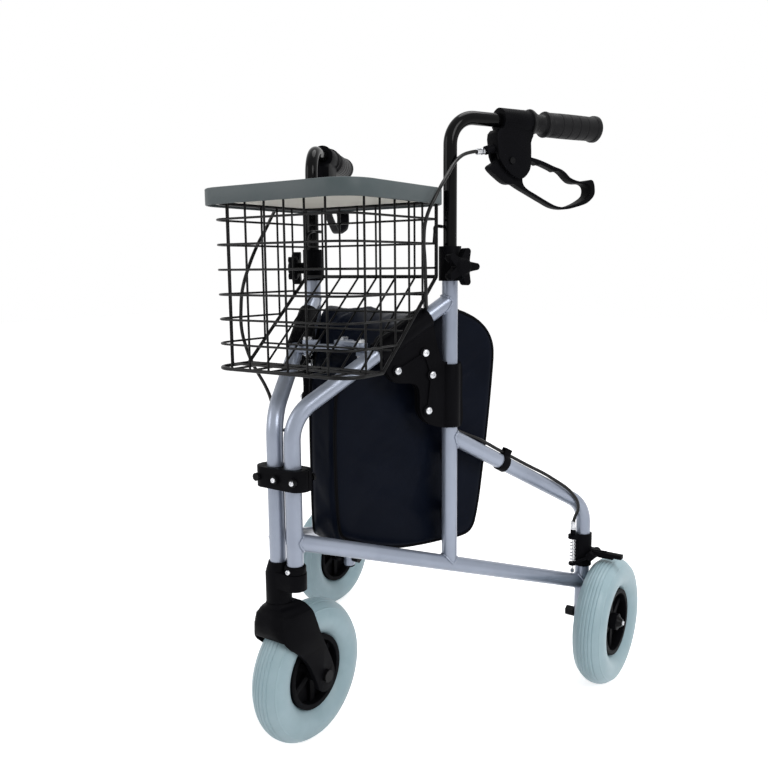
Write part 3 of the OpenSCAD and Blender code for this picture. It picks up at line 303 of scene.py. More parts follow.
finishes = {
    "frame_silver": {"dark": (137, 145, 161), "light": (157, 165, 181), "fine": 900, "broad": 7, "bump": 0.06,
                     "rough": (0.28, 0.38), "metal": 0.42, "coat": 0.2},
    "tube_black": {"dark": (5, 5, 6), "light": (8, 8, 9), "fine": 500, "broad": 9, "bump": 0.02,
                   "rough": (0.08, 0.14), "specular": 0.1},
    "plastic_black": {"dark": (9, 9, 11), "light": (15, 15, 18), "fine": 1400, "broad": 14, "bump": 0.12,
                      "rough": (0.42, 0.56), "specular": 0.025},
    "grip_rubber": {"dark": (11, 11, 13), "light": (19, 19, 21), "fine": 1100, "broad": 20, "bump": 0.22,
                    "rough": (0.42, 0.58), "specular": 0.14},
    "tyre_grey": {"dark": (146, 172, 180), "light": (167, 190, 198), "fine": 1000, "broad": 11, "bump": 0.08,
                  "rough": (0.34, 0.5), "specular": 0.4},
    "zinc": {"dark": (176, 178, 182), "light": (214, 215, 218), "fine": 1500, "broad": 60, "bump": 0.05,
             "rough": (0.18, 0.34), "metal": 1.0},
    "dark_steel": {"dark": (12, 12, 13), "light": (20, 20, 22), "fine": 1200, "broad": 40, "bump": 0.06,
                   "rough": (0.3, 0.45), "metal": 0.3, "specular": 0.1},
    "wire_black": {"dark": (7, 7, 8), "light": (12, 12, 13), "fine": 900, "broad": 30, "bump": 0.06,
                   "rough": (0.28, 0.42), "specular": 0.15},
    "tray_grey": {"dark": (75, 85, 87), "light": (90, 97, 99), "fine": 1600, "broad": 10, "bump": 0.14,
                  "rough": (0.42, 0.56), "specular": 0.25},
    "tray_cream": {"dark": (214, 211, 198), "light": (230, 227, 216), "fine": 1600, "broad": 10, "bump": 0.1,
                   "rough": (0.5, 0.62), "specular": 0.3},
    "bag_cloth": {"dark": (8, 12, 22), "light": (14, 19, 31), "fine": 700, "broad": 6, "bump": 0.16,
                  "depth": 0.0003, "threads": 260, "rough": (0.3, 0.42), "specular": 0.045},
    "bag_trim": {"dark": (5, 5, 7), "light": (10, 10, 13), "fine": 900, "broad": 20, "bump": 0.3,
                 "depth": 0.0003, "threads": 330, "rough": (0.5, 0.62), "specular": 0.04},
    "cable_sheath": {"dark": (8, 8, 9), "light": (14, 14, 15), "fine": 900, "broad": 25, "bump": 0.05,
                     "rough": (0.24, 0.36), "specular": 0.25},
}
mats = {slot: finish(slot.replace("_", " "), f) for slot, f in finishes.items()}
print("finishes:", len(mats))

# Every node takes the finish of its slot, apart from the axles, pins and clamp bolts in dark steel
darkSteel = {"front_axle", "left_rear_axle", "right_rear_axle", "left_lever_pin", "right_lever_pin",
             "hinge_clamp_bolts"}
slotOf = {}
for name, node in nodes.items():
    old = node.data.materials[0].name if node.data.materials else ""
    slotOf[name] = next(slot for slot in finishes if slot in old)
    node.data.materials.clear()
    node.data.materials.append(mats["dark_steel" if name in darkSteel else slotOf[name]])


# Mesh helpers
merge = {"copy": 0.00001, "tyre": 0.000005, "turned": 0.000002}  # doubles closer than this, in metres
crease = {"copy": 40, "tube": 50, "turned": 28, "flat": 30, "bag": 80}  # edges sharper than this, in degrees


def meshFrom(name, bm, sharp):
    mesh = bpy.data.meshes.new(name)
    bm.to_mesh(mesh)
    bm.free()
    mesh.polygons.foreach_set("use_smooth", [True] * len(mesh.polygons))
    mesh.set_sharp_from_angle(angle=math.radians(sharp))
    return mesh


def addPiece(name, mesh, slot, body=None, mat=None):
    mesh.materials.append(mats[mat or slot])
    piece = bpy.data.objects.new(name, mesh)
    scene.collection.objects.link(piece)
    if body:
        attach(piece, body)
    return piece


def place(bm, verts, spot, axis):
    turn = Vector(axis).to_track_quat("Z", "Y").to_matrix().to_4x4()
    bmesh.ops.transform(bm, matrix=Matrix.Translation(spot) @ turn, verts=verts)


def tubeMesh(name, points, radius, closed=False, roundness=4, swell=None):
    curve = bpy.data.curves.new(name, "CURVE")
    curve.dimensions = "3D"
    curve.bevel_depth = radius
    curve.bevel_resolution = roundness
    curve.resolution_u = 5
    curve.use_fill_caps = not closed
    spline = curve.splines.new("BEZIER")
    spline.bezier_points.add(len(points) - 1)
    spline.use_cyclic_u = closed
    for i, (knot, p) in enumerate(zip(spline.bezier_points, points)):
        knot.co = p
        knot.handle_left_type = "AUTO"
        knot.handle_right_type = "AUTO"
        knot.radius = swell(i) if swell else 1.0
    holder = bpy.data.objects.new(name, curve)
    scene.collection.objects.link(holder)
    bpy.context.view_layer.update()
    mesh = bpy.data.meshes.new_from_object(holder.evaluated_get(bpy.context.evaluated_depsgraph_get()))
    bpy.data.objects.remove(holder)
    bpy.data.curves.remove(curve)
    mesh.name = name
    mesh.materials.clear()
    mesh.polygons.foreach_set("use_smooth", [True] * len(mesh.polygons))
    mesh.set_sharp_from_angle(angle=math.radians(crease["tube"]))
    return mesh


def smoothLoop(points, count, spans=12):
    n = len(points)
    fine = []
    for i in range(n):
        p0, p1, p2, p3 = (Vector(points[(i + k - 1) % n]) for k in range(4))
        for j in range(spans):
            t = j / spans
            fine.append(0.5 * (2 * p1 + (p2 - p0) * t + (2 * p0 - 5 * p1 + 4 * p2 - p3) * t * t
                               + (3 * p1 - p0 - 3 * p2 + p3) * t ** 3))
    steps = [0.0]
    for a, b in zip(fine, fine[1:] + fine[:1]):
        steps.append(steps[-1] + (b - a).length)
    loop = []
    k = 0
    for i in range(count):
        goal = steps[-1] * i / count
        while steps[k + 1] < goal:
            k += 1
        t = (goal - steps[k]) / (steps[k + 1] - steps[k])
        loop.append(fine[k].lerp(fine[(k + 1) % len(fine)], t))
    return loop


def joined(name, meshes):
    bm = bmesh.new()
    for mesh in meshes:
        bm.from_mesh(mesh)
        bpy.data.meshes.remove(mesh)
    return meshFrom(name, bm, crease["tube"])


# Moulded and pressed pieces: a copy of the solid with its edges rounded over
rounding = {"flat": 1, "turned": 32}  # degrees up to which faces are one plane, or a turned surface
roundOver = {
    "fork": 0.0035, "fork_head": 0.0016, "hinge_clamp_front": 0.0018, "hinge_clamp_rear": 0.0018,
    "gusset_outer": 0.0016, "gusset_inner": 0.0016, "height_collar": 0.0012, "height_knob": 0.0016,
    "brake_housing": 0.0016, "cable_clip": 0.0006, "brake_bracket": 0.0008,
    "brake_arm": 0.0008, "rear_hub": 0.001, "front_hub": 0.001, "brace_link": 0.0008, "tray": 0.0014,
}


# The fork's crown is domed at the front: height and greatest reach from the stem's axis
crown = {"axis": (-sideFrame["hingeX"], sideFrame["hingeY"]), "back": 0.008,
         "dome": [(0.0, 0.0335), (0.160, 0.0335), (0.176, 0.0345), (0.192, 0.034), (0.206, 0.031),
                  (0.213, 0.024), (0.2165, 0.0178)],
         "cutsX": (-0.030, -0.024, -0.017, -0.009, 0.0, 0.009, 0.017, 0.024, 0.030),
         "cutsZ": (0.150, 0.160, 0.168, 0.176, 0.184, 0.192, 0.199, 0.206, 0.2095, 0.213, 0.215)}


def domeReach(z, dome):
    for (lowZ, low), (highZ, high) in zip(dome, dome[1:]):
        if z <= highZ:
            return low + (high - low) * (z - lowZ) / (highZ - lowZ)
    return dome[-1][1]


def domeCrown(bm, c):
    x0, y0 = c["axis"]
    planes = [((x0 + x, 0, 0), (1, 0, 0)) for x in c["cutsX"]]
    planes += [((0, 0, z), (0, 0, 1)) for z in c["cutsZ"]]
    for spot, normal in planes:
        whole = bm.verts[:] + bm.edges[:] + bm.faces[:]
        bmesh.ops.bisect_plane(bm, geom=whole, plane_co=spot, plane_no=normal)
    for vert in bm.verts:
        away = Vector((vert.co.x - x0, vert.co.y - y0))
        reach = domeReach(vert.co.z, c["dome"])
        if away.y < c["back"] and away.length > reach:
            away *= reach / away.length
            vert.co.x, vert.co.y = x0 + away.x, y0 + away.y


def roundedNode(name, width):
    bm = bmesh.new()
    bm.from_mesh(nodes[name].data)
    bmesh.ops.remove_doubles(bm, verts=bm.verts, dist=merge["copy"])
    bmesh.ops.dissolve_limit(bm, angle_limit=math.radians(rounding["flat"]), use_dissolve_boundaries=False,
                             verts=bm.verts, edges=bm.edges)
    limit = math.radians(rounding["turned"])
    corners = [e for e in bm.edges if len(e.link_faces) == 2 and e.calc_face_angle() > limit]
    bmesh.ops.bevel(bm, geom=corners, offset=width, offset_type="OFFSET", affect="EDGES", segments=2,
                    profile=0.5, material=-1, clamp_overlap=True)
    if name == "fork":
        domeCrown(bm, crown)
    piece = addPiece(name + "_moulded", meshFrom(name + "_moulded", bm, crease["copy"]), slotOf[name],
                     nodes[name]["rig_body"])
    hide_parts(name)


for name in nodes:
    part = name.removeprefix("left_").removeprefix("right_")
    if part in roundOver:
        roundedNode(name, roundOver[part])
print("rounded pieces done")

# Tyres: ribbed tread, plain walls and a thin ridge at each shoulder
tyre = {"radius": 0.1, "section": 0.025, "bead": 0.0521, "grooves": 5, "pitch": 12.6, "groove": 0.0011,
        "grooveHalf": 1.7, "ridgeAt": 54.0, "ridge": 0.0007, "ridgeHalf": 2.4, "steps": 112,
        "treadTo": 34, "ridgeZone": (46, 62), "fineStep": 0.85, "plainStep": 3.0}


def tyreLift(angle, t):
    lift = t["ridge"] * math.exp(-((abs(angle) - t["ridgeAt"]) / t["ridgeHalf"]) ** 2)
    for i in range(t["grooves"]):
        middle = (i - (t["grooves"] - 1) / 2) * t["pitch"]
        lift -= t["groove"] * math.exp(-((angle - middle) / t["grooveHalf"]) ** 2)
    return lift


def addTyre(node, body, t):
    low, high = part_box(node)
    hub = (low + high) / 2
    ring = t["radius"] - t["section"]
    last = math.degrees(math.acos((t["bead"] - ring) / t["section"]))
    angles = [-last]
    while angles[-1] < last:
        now = abs(angles[-1])
        fine = now < t["treadTo"] or t["ridgeZone"][0] < now < t["ridgeZone"][1]
        angles.append(min(angles[-1] + (t["fineStep"] if fine else t["plainStep"]), last))
    bm = bmesh.new()
    verts = []
    for a in angles:
        reach = t["section"] + tyreLift(a, t)
        turn = math.radians(a)
        verts.append(bm.verts.new((hub.x + reach * math.sin(turn), hub.y,
                                   hub.z + ring + reach * math.cos(turn))))
    edges = [bm.edges.new(pair) for pair in zip(verts, verts[1:])]
    edges.append(bm.edges.new((verts[-1], verts[0])))
    bmesh.ops.spin(bm, geom=verts + edges, cent=hub, axis=(1, 0, 0), angle=math.tau, steps=t["steps"],
                   use_merge=True)
    bmesh.ops.remove_doubles(bm, verts=bm.verts, dist=merge["tyre"])
    bmesh.ops.recalc_face_normals(bm, faces=bm.faces)
    piece = addPiece(body + "_tyre", meshFrom(body + "_tyre", bm, crease["tube"]), "tyre_grey", body)
    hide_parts(node)


for node, body in (("front_tyre", "front_wheel"), ("left_rear_tyre", "left_wheel"),
                   ("right_rear_tyre", "right_wheel")):
    addTyre(node, body, tyre)
print("tyres done")

# Brake levers: a loop in the frame's plane, in mm along and up from the floor
lever = {
    "outer": [(318, 810), (325, 816), (335, 819), (347, 819), (357, 817.5), (365.5, 815.4), (373.2, 813.6),
              (387.1, 811.1), (401.2, 807.5), (415.4, 803.1), (429.8, 799.4), (438.6, 794.9), (446.1, 788.6),
              (456.5, 784.6), (469.8, 782.9), (477.7, 784.8), (484.1, 786.4), (489.0, 783.4), (491.5, 774.7),
              (491.3, 765.6), (486.0, 758.6), (475.4, 751.4), (457.7, 746.0), (443.1, 742.7), (428.6, 742.4),
              (414.1, 744.9), (399.8, 750.5), (382.7, 757.7), (366.0, 764.8), (352.2, 770.8), (344.0, 774.8),
              (336.5, 774.5), (327.9, 776.3), (314.6, 784.3), (304.0, 792.2), (301.3, 796.3), (304.4, 799.6),
              (311.7, 804.0)],
    "inner": [(366.5, 805.5), (373.4, 808.2), (380.3, 806.3), (386.2, 803.3), (391.5, 804.2), (401.4, 801.6),
              (412.8, 797.8), (418.5, 795.6), (424.2, 796.6), (431.5, 793.2), (440.4, 786.4), (449.3, 781.6),
              (460.5, 780.2), (474.0, 780.6), (482.0, 776.5), (483.4, 768.0), (479.0, 761.0), (463.0, 752.6),
              (444.5, 746.8), (431.3, 745.6), (418.8, 747.6), (401.5, 754.2), (384.4, 761.6), (368.5, 768.6),
              (360.8, 775.0), (358.8, 784.0), (361.0, 795.0)],
    "counts": (170, 130), "half": 0.006, "halfTip": 0.0105, "widens": (0.432, 0.480), "round": 0.0013,
    "rimAngle": 60,
    "drop": {"left": 0.0, "right": 0.0225},
}


def addLever(side, v):
    bm = bmesh.new()
    edges = []
    for rim, count in zip(("outer", "inner"), v["counts"]):
        loop = [bm.verts.new((p.x / 1000, p.y / 1000, 0)) for p in smoothLoop(v[rim], count)]
        edges += [bm.edges.new(pair) for pair in zip(loop, loop[1:] + loop[:1])]
    bmesh.ops.triangle_fill(bm, use_beauty=True, edges=edges)
    faces = bm.faces[:]
    top = bmesh.ops.extrude_face_region(bm, geom=faces, use_keep_orig=True)["geom"]
    raised = {g for g in top if isinstance(g, bmesh.types.BMVert)}
    low, high = v["widens"]
    for vert in bm.verts:
        share = min(max((vert.co.x - low) / (high - low), 0.0), 1.0)
        half = v["half"] + (v["halfTip"] - v["half"]) * share * share * (3 - 2 * share)
        vert.co = framePoint(side, half if vert in raised else -half, vert.co.x, vert.co.y - v["drop"][side])
    bmesh.ops.recalc_face_normals(bm, faces=bm.faces)
    bm.normal_update()
    limit = math.radians(v["rimAngle"])
    rims = [e for e in bm.edges if len(e.link_faces) == 2 and e.calc_face_angle() > limit]
    bmesh.ops.bevel(bm, geom=rims, offset=v["round"], offset_type="OFFSET", affect="EDGES", segments=3,
                    profile=0.5, material=-1, clamp_overlap=True)
    name = side + "_brake_lever"
    piece = addPiece(side + "_loop", meshFrom(side + "_loop", bm, crease["copy"]), slotOf[name],
                     nodes[name]["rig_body"])
    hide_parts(name)


for side in sides:
    addLever(side, lever)
print("levers done")

# Brake cables, the same routes as the solids: out, along and up in each side frame
cable = {
    "radius": 0.0025,
    "left": [(0, 0.297, 0.818), (0.004, 0.272, 0.815), (0.016, 0.243, 0.804), (0.031, 0.216, 0.780),
             (0.043, 0.190, 0.751), (0.040, 0.177, 0.722), (0.034, 0.177, 0.695), (0.030, 0.181, 0.668),
             (0.030, 0.182, 0.640), (0.028, 0.184, 0.616), (0.017, 0.191, 0.605), (0.002, 0.199, 0.614),
             (-0.012, 0.207, 0.608), (-0.020, 0.215, 0.580), (-0.022, 0.222, 0.520),
             (-0.021, 0.232, 0.468), (-0.017, 0.247, 0.435), (-0.006, 0.266, 0.423), (0, 0.292, 0.411),
             (0, 0.333, 0.388), (0, 0.380, 0.362), (0.005, 0.424, 0.337), (0.014, 0.462, 0.306),
             (0.012, 0.474, 0.284), (0.002, 0.475, 0.262), (0, 0.475, 0.246)],
    "right": [(0, 0.297, 0.796), (0.008, 0.270, 0.793), (0.026, 0.238, 0.782), (0.040, 0.208, 0.762),
              (0.046, 0.180, 0.737), (0.050, 0.155, 0.715), (0.057, 0.132, 0.690), (0.064, 0.115, 0.662),
              (0.070, 0.103, 0.632), (0.072, 0.099, 0.604), (0.072, 0.099, 0.576), (0.068, 0.104, 0.550),
              (0.062, 0.110, 0.528), (0.050, 0.101, 0.512), (0.036, 0.085, 0.498), (0.024, 0.071, 0.480),
              (0.018, 0.066, 0.458), (0.017, 0.084, 0.438), (0.017, 0.124, 0.429), (0.017, 0.190, 0.426),
              (0.016, 0.240, 0.430), (0.008, 0.266, 0.424), (0, 0.292, 0.411), (0, 0.333, 0.388),
              (0, 0.380, 0.362), (0.005, 0.424, 0.337), (0.014, 0.462, 0.306), (0.012, 0.474, 0.284),
              (0.002, 0.475, 0.262), (0, 0.475, 0.246)],
    "stillBelow": 0.725,
    "moveAbove": 0.800,
}


def addCable(side):
    points = [framePoint(side, *p) for p in cable[side]]
    piece = addPiece(side + "_cable", tubeMesh(side + "_cable", points, cable["radius"]), "cable_sheath")
    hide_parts(side + "_brake_cable")
    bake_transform(piece)


for side in sides:
    addCable(side)
print("cables done")


def addSpring(side):
    name = side + "_brake_spring"
    bm = bmesh.new()
    bm.from_mesh(nodes[name].data)
    bmesh.ops.remove_doubles(bm, verts=bm.verts, dist=merge["copy"])
    piece = addPiece(side + "_coil", meshFrom(side + "_coil", bm, crease["tube"]), slotOf[name],
                     nodes[name]["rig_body"])
    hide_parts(name)
    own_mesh(piece)


for side in sides:
    addSpring(side)
print("springs done")

# Lathe work: bolts, plugs, rings and grips, each turned from its own outline of radius and height in mm
around = {"hex": 6, "tiny": 20, "small": 24, "bolt": 28, "wide": 40, "grip": 48}  # steps in a full turn
turned = {
    "pan bolt": [(0, 0), (5.2, 0), (5.2, 0.9), (4.9, 2.0), (4.0, 2.9), (2.9, 3.3), (2.2, 3.3), (2.0, 2.0),
                 (0, 2.0)],
    "small bolt": [(0, 0), (3.4, 0), (3.4, 1.0), (3.0, 1.8), (1.9, 2.1), (1.6, 2.1), (1.4, 1.3), (0, 1.3)],
    "hex bolt": [(0, 0), (7.0, 0), (7.0, 3.6), (6.4, 4.3), (2.4, 4.3), (0, 4.1)],
    "hex nut": [(0, 0), (6.6, 0), (6.9, 0.4), (6.9, 4.6), (6.3, 5.2), (4.2, 5.2), (4.0, 6.8), (3.6, 7.2),
                (0, 7.2)],
    "adjuster": [(0, 0), (3.2, 0), (3.2, 3.0), (4.6, 3.3), (4.6, 6.3), (3.3, 6.6), (3.3, 8.0), (4.2, 8.4),
                 (4.2, 15.0), (3.6, 15.8), (2.7, 16.0), (2.7, 14.0), (0, 14.0)],
    "ferrule": [(0, 0), (4.1, 0), (4.1, 2.2), (3.5, 2.6), (3.5, 12.5), (3.2, 13.4), (2.6, 13.8), (2.6, 12),
                (0, 12)],
    "wire nut": [(0, 0), (2.9, 0), (3.1, 0.4), (3.1, 4.6), (2.8, 5.0), (0.9, 5.2), (0, 5.2)],
    "tube plug": [(0, 0), (8.6, 0), (10.4, 0.8), (11.2, 2.2), (11.2, 3.6), (9.2, 3.8), (9.2, 9.0), (0, 9.0)],
    "grip": [(9.6, 0), (17.0, 0), (18.8, 0.8), (19.2, 2.6), (18.6, 4.6), (16.8, 8), (14.6, 12), (13.2, 17),
             (13.0, 22), (13.6, 25.5), (15.6, 27.6), (17.6, 28.6), (18.3, 30.4), (18.0, 32.6), (16.9, 34),
             (16.7, 38), (17.2, 39), (17.4, 52), (16.8, 52.8), (16.8, 54.2), (17.5, 55), (17.6, 68),
             (16.9, 68.8), (16.9, 70.2), (17.6, 71), (17.6, 84), (16.9, 84.8), (16.9, 86.2), (17.6, 87),
             (17.5, 100), (16.8, 100.8), (16.8, 102.2), (17.4, 103), (17.3, 116), (17.6, 119), (18.9, 120.6),
             (19.2, 123), (19.0, 126.4), (17.4, 128.2), (14, 129), (0, 129), (0, 126.4), (9.6, 126.2)],
    "tube ring": [(11.3, 0), (13.6, 0), (14.4, 0.8), (14.4, 8.2), (13.6, 9.4), (12.2, 10.6), (11.3, 10.6)],
}


def lathe(bm, shape, spot, axis, steps):
    outline = [(r / 1000, h / 1000) for r, h in turned[shape]]
    verts = [bm.verts.new((r, 0, h)) for r, h in outline]
    edges = [bm.edges.new(pair) for pair in zip(verts, verts[1:])]
    if outline[0][0] > 0:
        edges.append(bm.edges.new((verts[-1], verts[0])))
    bmesh.ops.spin(bm, geom=verts + edges, cent=(0, 0, 0), axis=(0, 0, 1), angle=math.tau, steps=steps,
                   use_merge=True)
    whole = set(verts)
    stack = list(verts)
    while stack:
        for edge in stack.pop().link_edges:
            for v in edge.verts:
                if v not in whole:
                    whole.add(v)
                    stack.append(v)
    place(bm, list(whole), spot, axis)


def addTurned(name, slot, body, rows):
    bm = bmesh.new()
    for shape, spot, axis, steps in rows:
        lathe(bm, shape, spot, axis, steps)
    bmesh.ops.remove_doubles(bm, verts=bm.verts, dist=merge["turned"])
    bmesh.ops.recalc_face_normals(bm, faces=bm.faces)
    return addPiece(name, meshFrom(name, bm, crease["turned"]), slot, body)


grip = {"start": 0.37005, "z": 0.861, "drop": {"left": 0.0, "right": 0.0225}}


def addGrip(side, g):
    spot = framePoint(side, 0, g["start"], g["z"] - g["drop"][side])
    name = side + "_grip"
    piece = addTurned(side + "_hand_grip", slotOf[name], nodes[name]["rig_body"],
                      [("grip", spot, frameAxis(side, 0, 1, 0), around["grip"])])
    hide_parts(name)


for side in sides:
    addGrip(side, grip)
print("grips done")

fasteners = {
    "gussetBolts": [(0.2046, 0.5133), (0.1984, 0.4642), (0.1936, 0.5442), (0.1501, 0.5225)],
    "gussetFace": 0.0111,
    "braceSpot": (-0.020, 0.112),
    "braceTop": 0.5603,
    "braceFoot": 0.5428,
    "stopSpot": (0.0, 0.4751),
    "stopTop": 0.2452,
    "tailFoot": 0.166,
    "tailNut": 0.1745,
    "tailRadius": 0.0008,
    "tailStraight": 0.07,
    "tailSteps": 6,
    "tailBend": 0.001,
    "dropAlong": 0.49612,
    "dropFoot": 0.0812,
    "coneTip": (0.3053, 0.195, 0.1),
}


def addFasteners(side, f):
    out = frameAxis(side, 1, 0, 0)
    up = Vector((0, 0, 1))
    bolts = []
    for along, z in f["gussetBolts"]:
        bolts.append(("pan bolt", framePoint(side, f["gussetFace"], along, z), out, around["bolt"]))
        bolts.append(("hex nut", framePoint(side, -f["gussetFace"], along, z), -out, around["hex"]))
    brace = framePoint(side, *f["braceSpot"], f["braceTop"])
    bolts.append(("hex bolt", brace, up, around["hex"]))
    bolts.append(("hex nut", framePoint(side, *f["braceSpot"], f["braceFoot"]), -up, around["hex"]))
    stop = framePoint(side, *f["stopSpot"], f["stopTop"])
    bolts.append(("ferrule", stop, up, around["small"]))
    bolts.append(("wire nut", framePoint(side, *f["stopSpot"], f["tailNut"]), up, around["hex"]))
    addTurned(side + "_bolts", "zinc", side + "_frame", bolts)
    foot = framePoint(side, 0, f["dropAlong"], f["dropFoot"])
    addTurned(side + "_plug", "plastic_black", side + "_frame", [("tube plug", foot, up, around["wide"])])
    first, second = (framePoint(side, *p) for p in cable[side][:2])
    addTurned(side + "_adjuster", "zinc", side + "_handle",
              [("adjuster", first, second - first, around["tiny"])])
    x, y, z = f["coneTip"]
    addTurned(side + "_hub_bolt", "zinc", side + "_frame",
              [("small bolt", (sides[side] * x, y, z), (sides[side], 0, 0), around["small"])])
    along, top, steps = f["stopSpot"][1], f["stopTop"], f["tailSteps"]
    tail = [framePoint(side, 0, along, top - f["tailStraight"] * i / steps) for i in range(steps + 1)]
    tail.append(framePoint(side, f["tailBend"], along - f["tailBend"], f["tailFoot"]))
    mesh = tubeMesh(side + "_wire_tail", tail, f["tailRadius"])
    addPiece(side + "_wire_tail", mesh, "zinc", side + "_frame")


for side in sides:
    addFasteners(side, fasteners)

# Fasteners at the front, set back from the hinge line
front = {"braceBolt": (0.0, 0.1311, 0.5603), "tubeRing": (0.015, 0.0, 0.2660),
         "ringBolt": (0.015, -0.0144, 0.2705), "clampHeads": (0.0, 0.031)}


def atHinge(spot):
    return Vector(spot) + Vector((0, sideFrame["hingeY"], 0))


def addFrontFasteners(f):
    ahead = Vector((0, -1, 0))
    up = Vector((0, 0, 1))
    addTurned("brace_bolt", "zinc", "left_brace", [("hex bolt", atHinge(f["braceBolt"]), up, around["hex"])])
    addTurned("head_ring", "plastic_black", "head",
              [("tube ring", atHinge(f["tubeRing"]), up, around["wide"])])
    low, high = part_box("hinge_clamp_bolts")
    z = (low.z + high.z) / 2
    heads = [("small bolt", (x, low.y, z), ahead, around["small"]) for x in f["clampHeads"]]
    addTurned("clamp_heads", "zinc", nodes["hinge_clamp_bolts"]["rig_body"], heads)
    addTurned("ring_bolt", "zinc", "head", [("small bolt", atHinge(f["ringBolt"]), ahead, around["tiny"])])


addFrontFasteners(front)
print("fasteners done")

# Weld beads where a tube runs into the side of another, in the frame's plane
weld = {"tube": 0.011, "bead": 0.0019, "steps": 40, "lift": 0.0004, "spread": 1.02,
        "ripples": [(0.14, 2.4, 0.0), (0.08, 5.1, 1.0)]}  # share of the bead, rate and start
tubes = {"upright": 0.240, "drop": 0.49612, "slope": (0.472, 0.615), "lower": (0.308, 0.154),
         "stay": (0.423, 0.282)}
slopeTurn = math.atan2(tubes["slope"][1] - tubes["slope"][0], tubes["upright"])
lowerTurn = math.atan2(tubes["lower"][1] - tubes["lower"][0], tubes["drop"])
stayTurn = math.atan2(tubes["stay"][1] - tubes["stay"][0], tubes["drop"] - tubes["upright"])
upright = math.pi / 2
footUp = tubes["lower"][0] + tubes["upright"] * math.tan(lowerTurn)
welds = {
    # where the axes meet, the main tube's direction, and the direction in which the branch leaves it
    "slope": ((tubes["upright"], tubes["slope"][1]), upright, slopeTurn + math.pi),
    "stay": ((tubes["upright"], tubes["stay"][0]), upright, stayTurn),
    "lower_front": ((0.0, tubes["lower"][0]), upright, lowerTurn),
    "lower_rear": ((tubes["drop"], tubes["lower"][1]), upright, lowerTurn + math.pi),
    "upright_foot": ((tubes["upright"], footUp), lowerTurn, upright),
}


def beadPoints(side, spot, main, branch, w):
    radius = w["tube"]
    way = Vector((math.cos(branch), math.sin(branch)))
    cross = Vector((-math.sin(branch), math.cos(branch)))
    off = Vector((-math.sin(main), math.cos(main)))
    if way.dot(off) < 0:
        off = -off
    points = []
    for i in range(w["steps"]):
        turn = math.tau * i / w["steps"]
        out = radius * math.cos(turn)
        shift = cross * radius * math.sin(turn)
        room = math.sqrt(max((radius + w["lift"]) ** 2 - out * out, 0))
        run = (room - shift.dot(off)) / way.dot(off)
        p = Vector(spot) + shift + way * run
        points.append(framePoint(side, out * w["spread"], p.x, p.y))
    return points


def ripple(i):
    swell = 1.0
    for share, rate, start in weld["ripples"]:
        swell += share * math.sin(i * rate + start)
    return swell


for side in sides:
    beads = [tubeMesh(side + "_" + name, beadPoints(side, *spot, weld), weld["bead"], True, 2, ripple)
             for name, spot in welds.items()]
    addPiece(side + "_welds", joined(side + "_welds", beads), "frame_silver", side + "_frame")
print("weld beads done")

# Wire hooks from the basket round the handle tubes
hook = {"radius": 0.0024, "reach": 0.0128, "z": 0.715, "along": 0.240, "turns": (214, 190, 165, 140, 118),
        "stem": [(0.1130, 0.188, -0.022), (0.1130, 0.190, -0.008), (0.1100, 0.196, -0.001)]}


def addHook(side, h):
    sign = sides[side]
    middle = framePoint("left", 0, h["along"], h["z"])
    points = [(x, sideFrame["hingeY"] + y, h["z"] + z) for x, y, z in h["stem"]]
    for turn in h["turns"]:
        a = math.radians(turn)
        points.append((middle.x + h["reach"] * math.cos(a), middle.y + h["reach"] * math.sin(a), h["z"]))
    points = [Vector((sign * x, y, z)) for x, y, z in points]
    addPiece(side + "_hook", tubeMesh(side + "_hook", points, h["radius"]), "wire_black", "basket")


for side in sides:
    addHook(side, hook)
print("hooks done")

# Cream lining under the tray's floor, inside the basket's rim
lining = {"half": 0.1100, "front": -0.0025, "back": 0.1855, "corner": 0.024, "low": 0.7479, "thick": 0.00105,
          "cornerSteps": 8, "steps": [(0.006, 0.0), (0.003, -0.0004), (0.016, 0.0)]}  # inset and depth


def roundedLoop(bm, halfX, front, back, corner, z, steps):
    verts = []
    for cx, cy, start in ((halfX - corner, back - corner, 0), (corner - halfX, back - corner, 90),
                          (corner - halfX, front + corner, 180), (halfX - corner, front + corner, 270)):
        for i in range(steps + 1):
            a = math.radians(start + 90 * i / steps)
            verts.append(bm.verts.new((cx + corner * math.cos(a), cy + corner * math.sin(a), z)))
    return bm.faces.new(verts)


def addLining(g):
    bm = bmesh.new()
    y0 = sideFrame["hingeY"]
    face = roundedLoop(bm, g["half"], y0 + g["front"], y0 + g["back"], g["corner"], g["low"],
                       g["cornerSteps"])
    for inwards, down in g["steps"]:
        bmesh.ops.inset_individual(bm, faces=[face], thickness=inwards, depth=down)
    bmesh.ops.solidify(bm, geom=bm.faces[:], thickness=-g["thick"])
    bmesh.ops.recalc_face_normals(bm, faces=bm.faces)
    addPiece("tray_lining", meshFrom("tray_lining", bm, crease["flat"]), "tray_grey", "tray", "tray_cream")


addLining(lining)

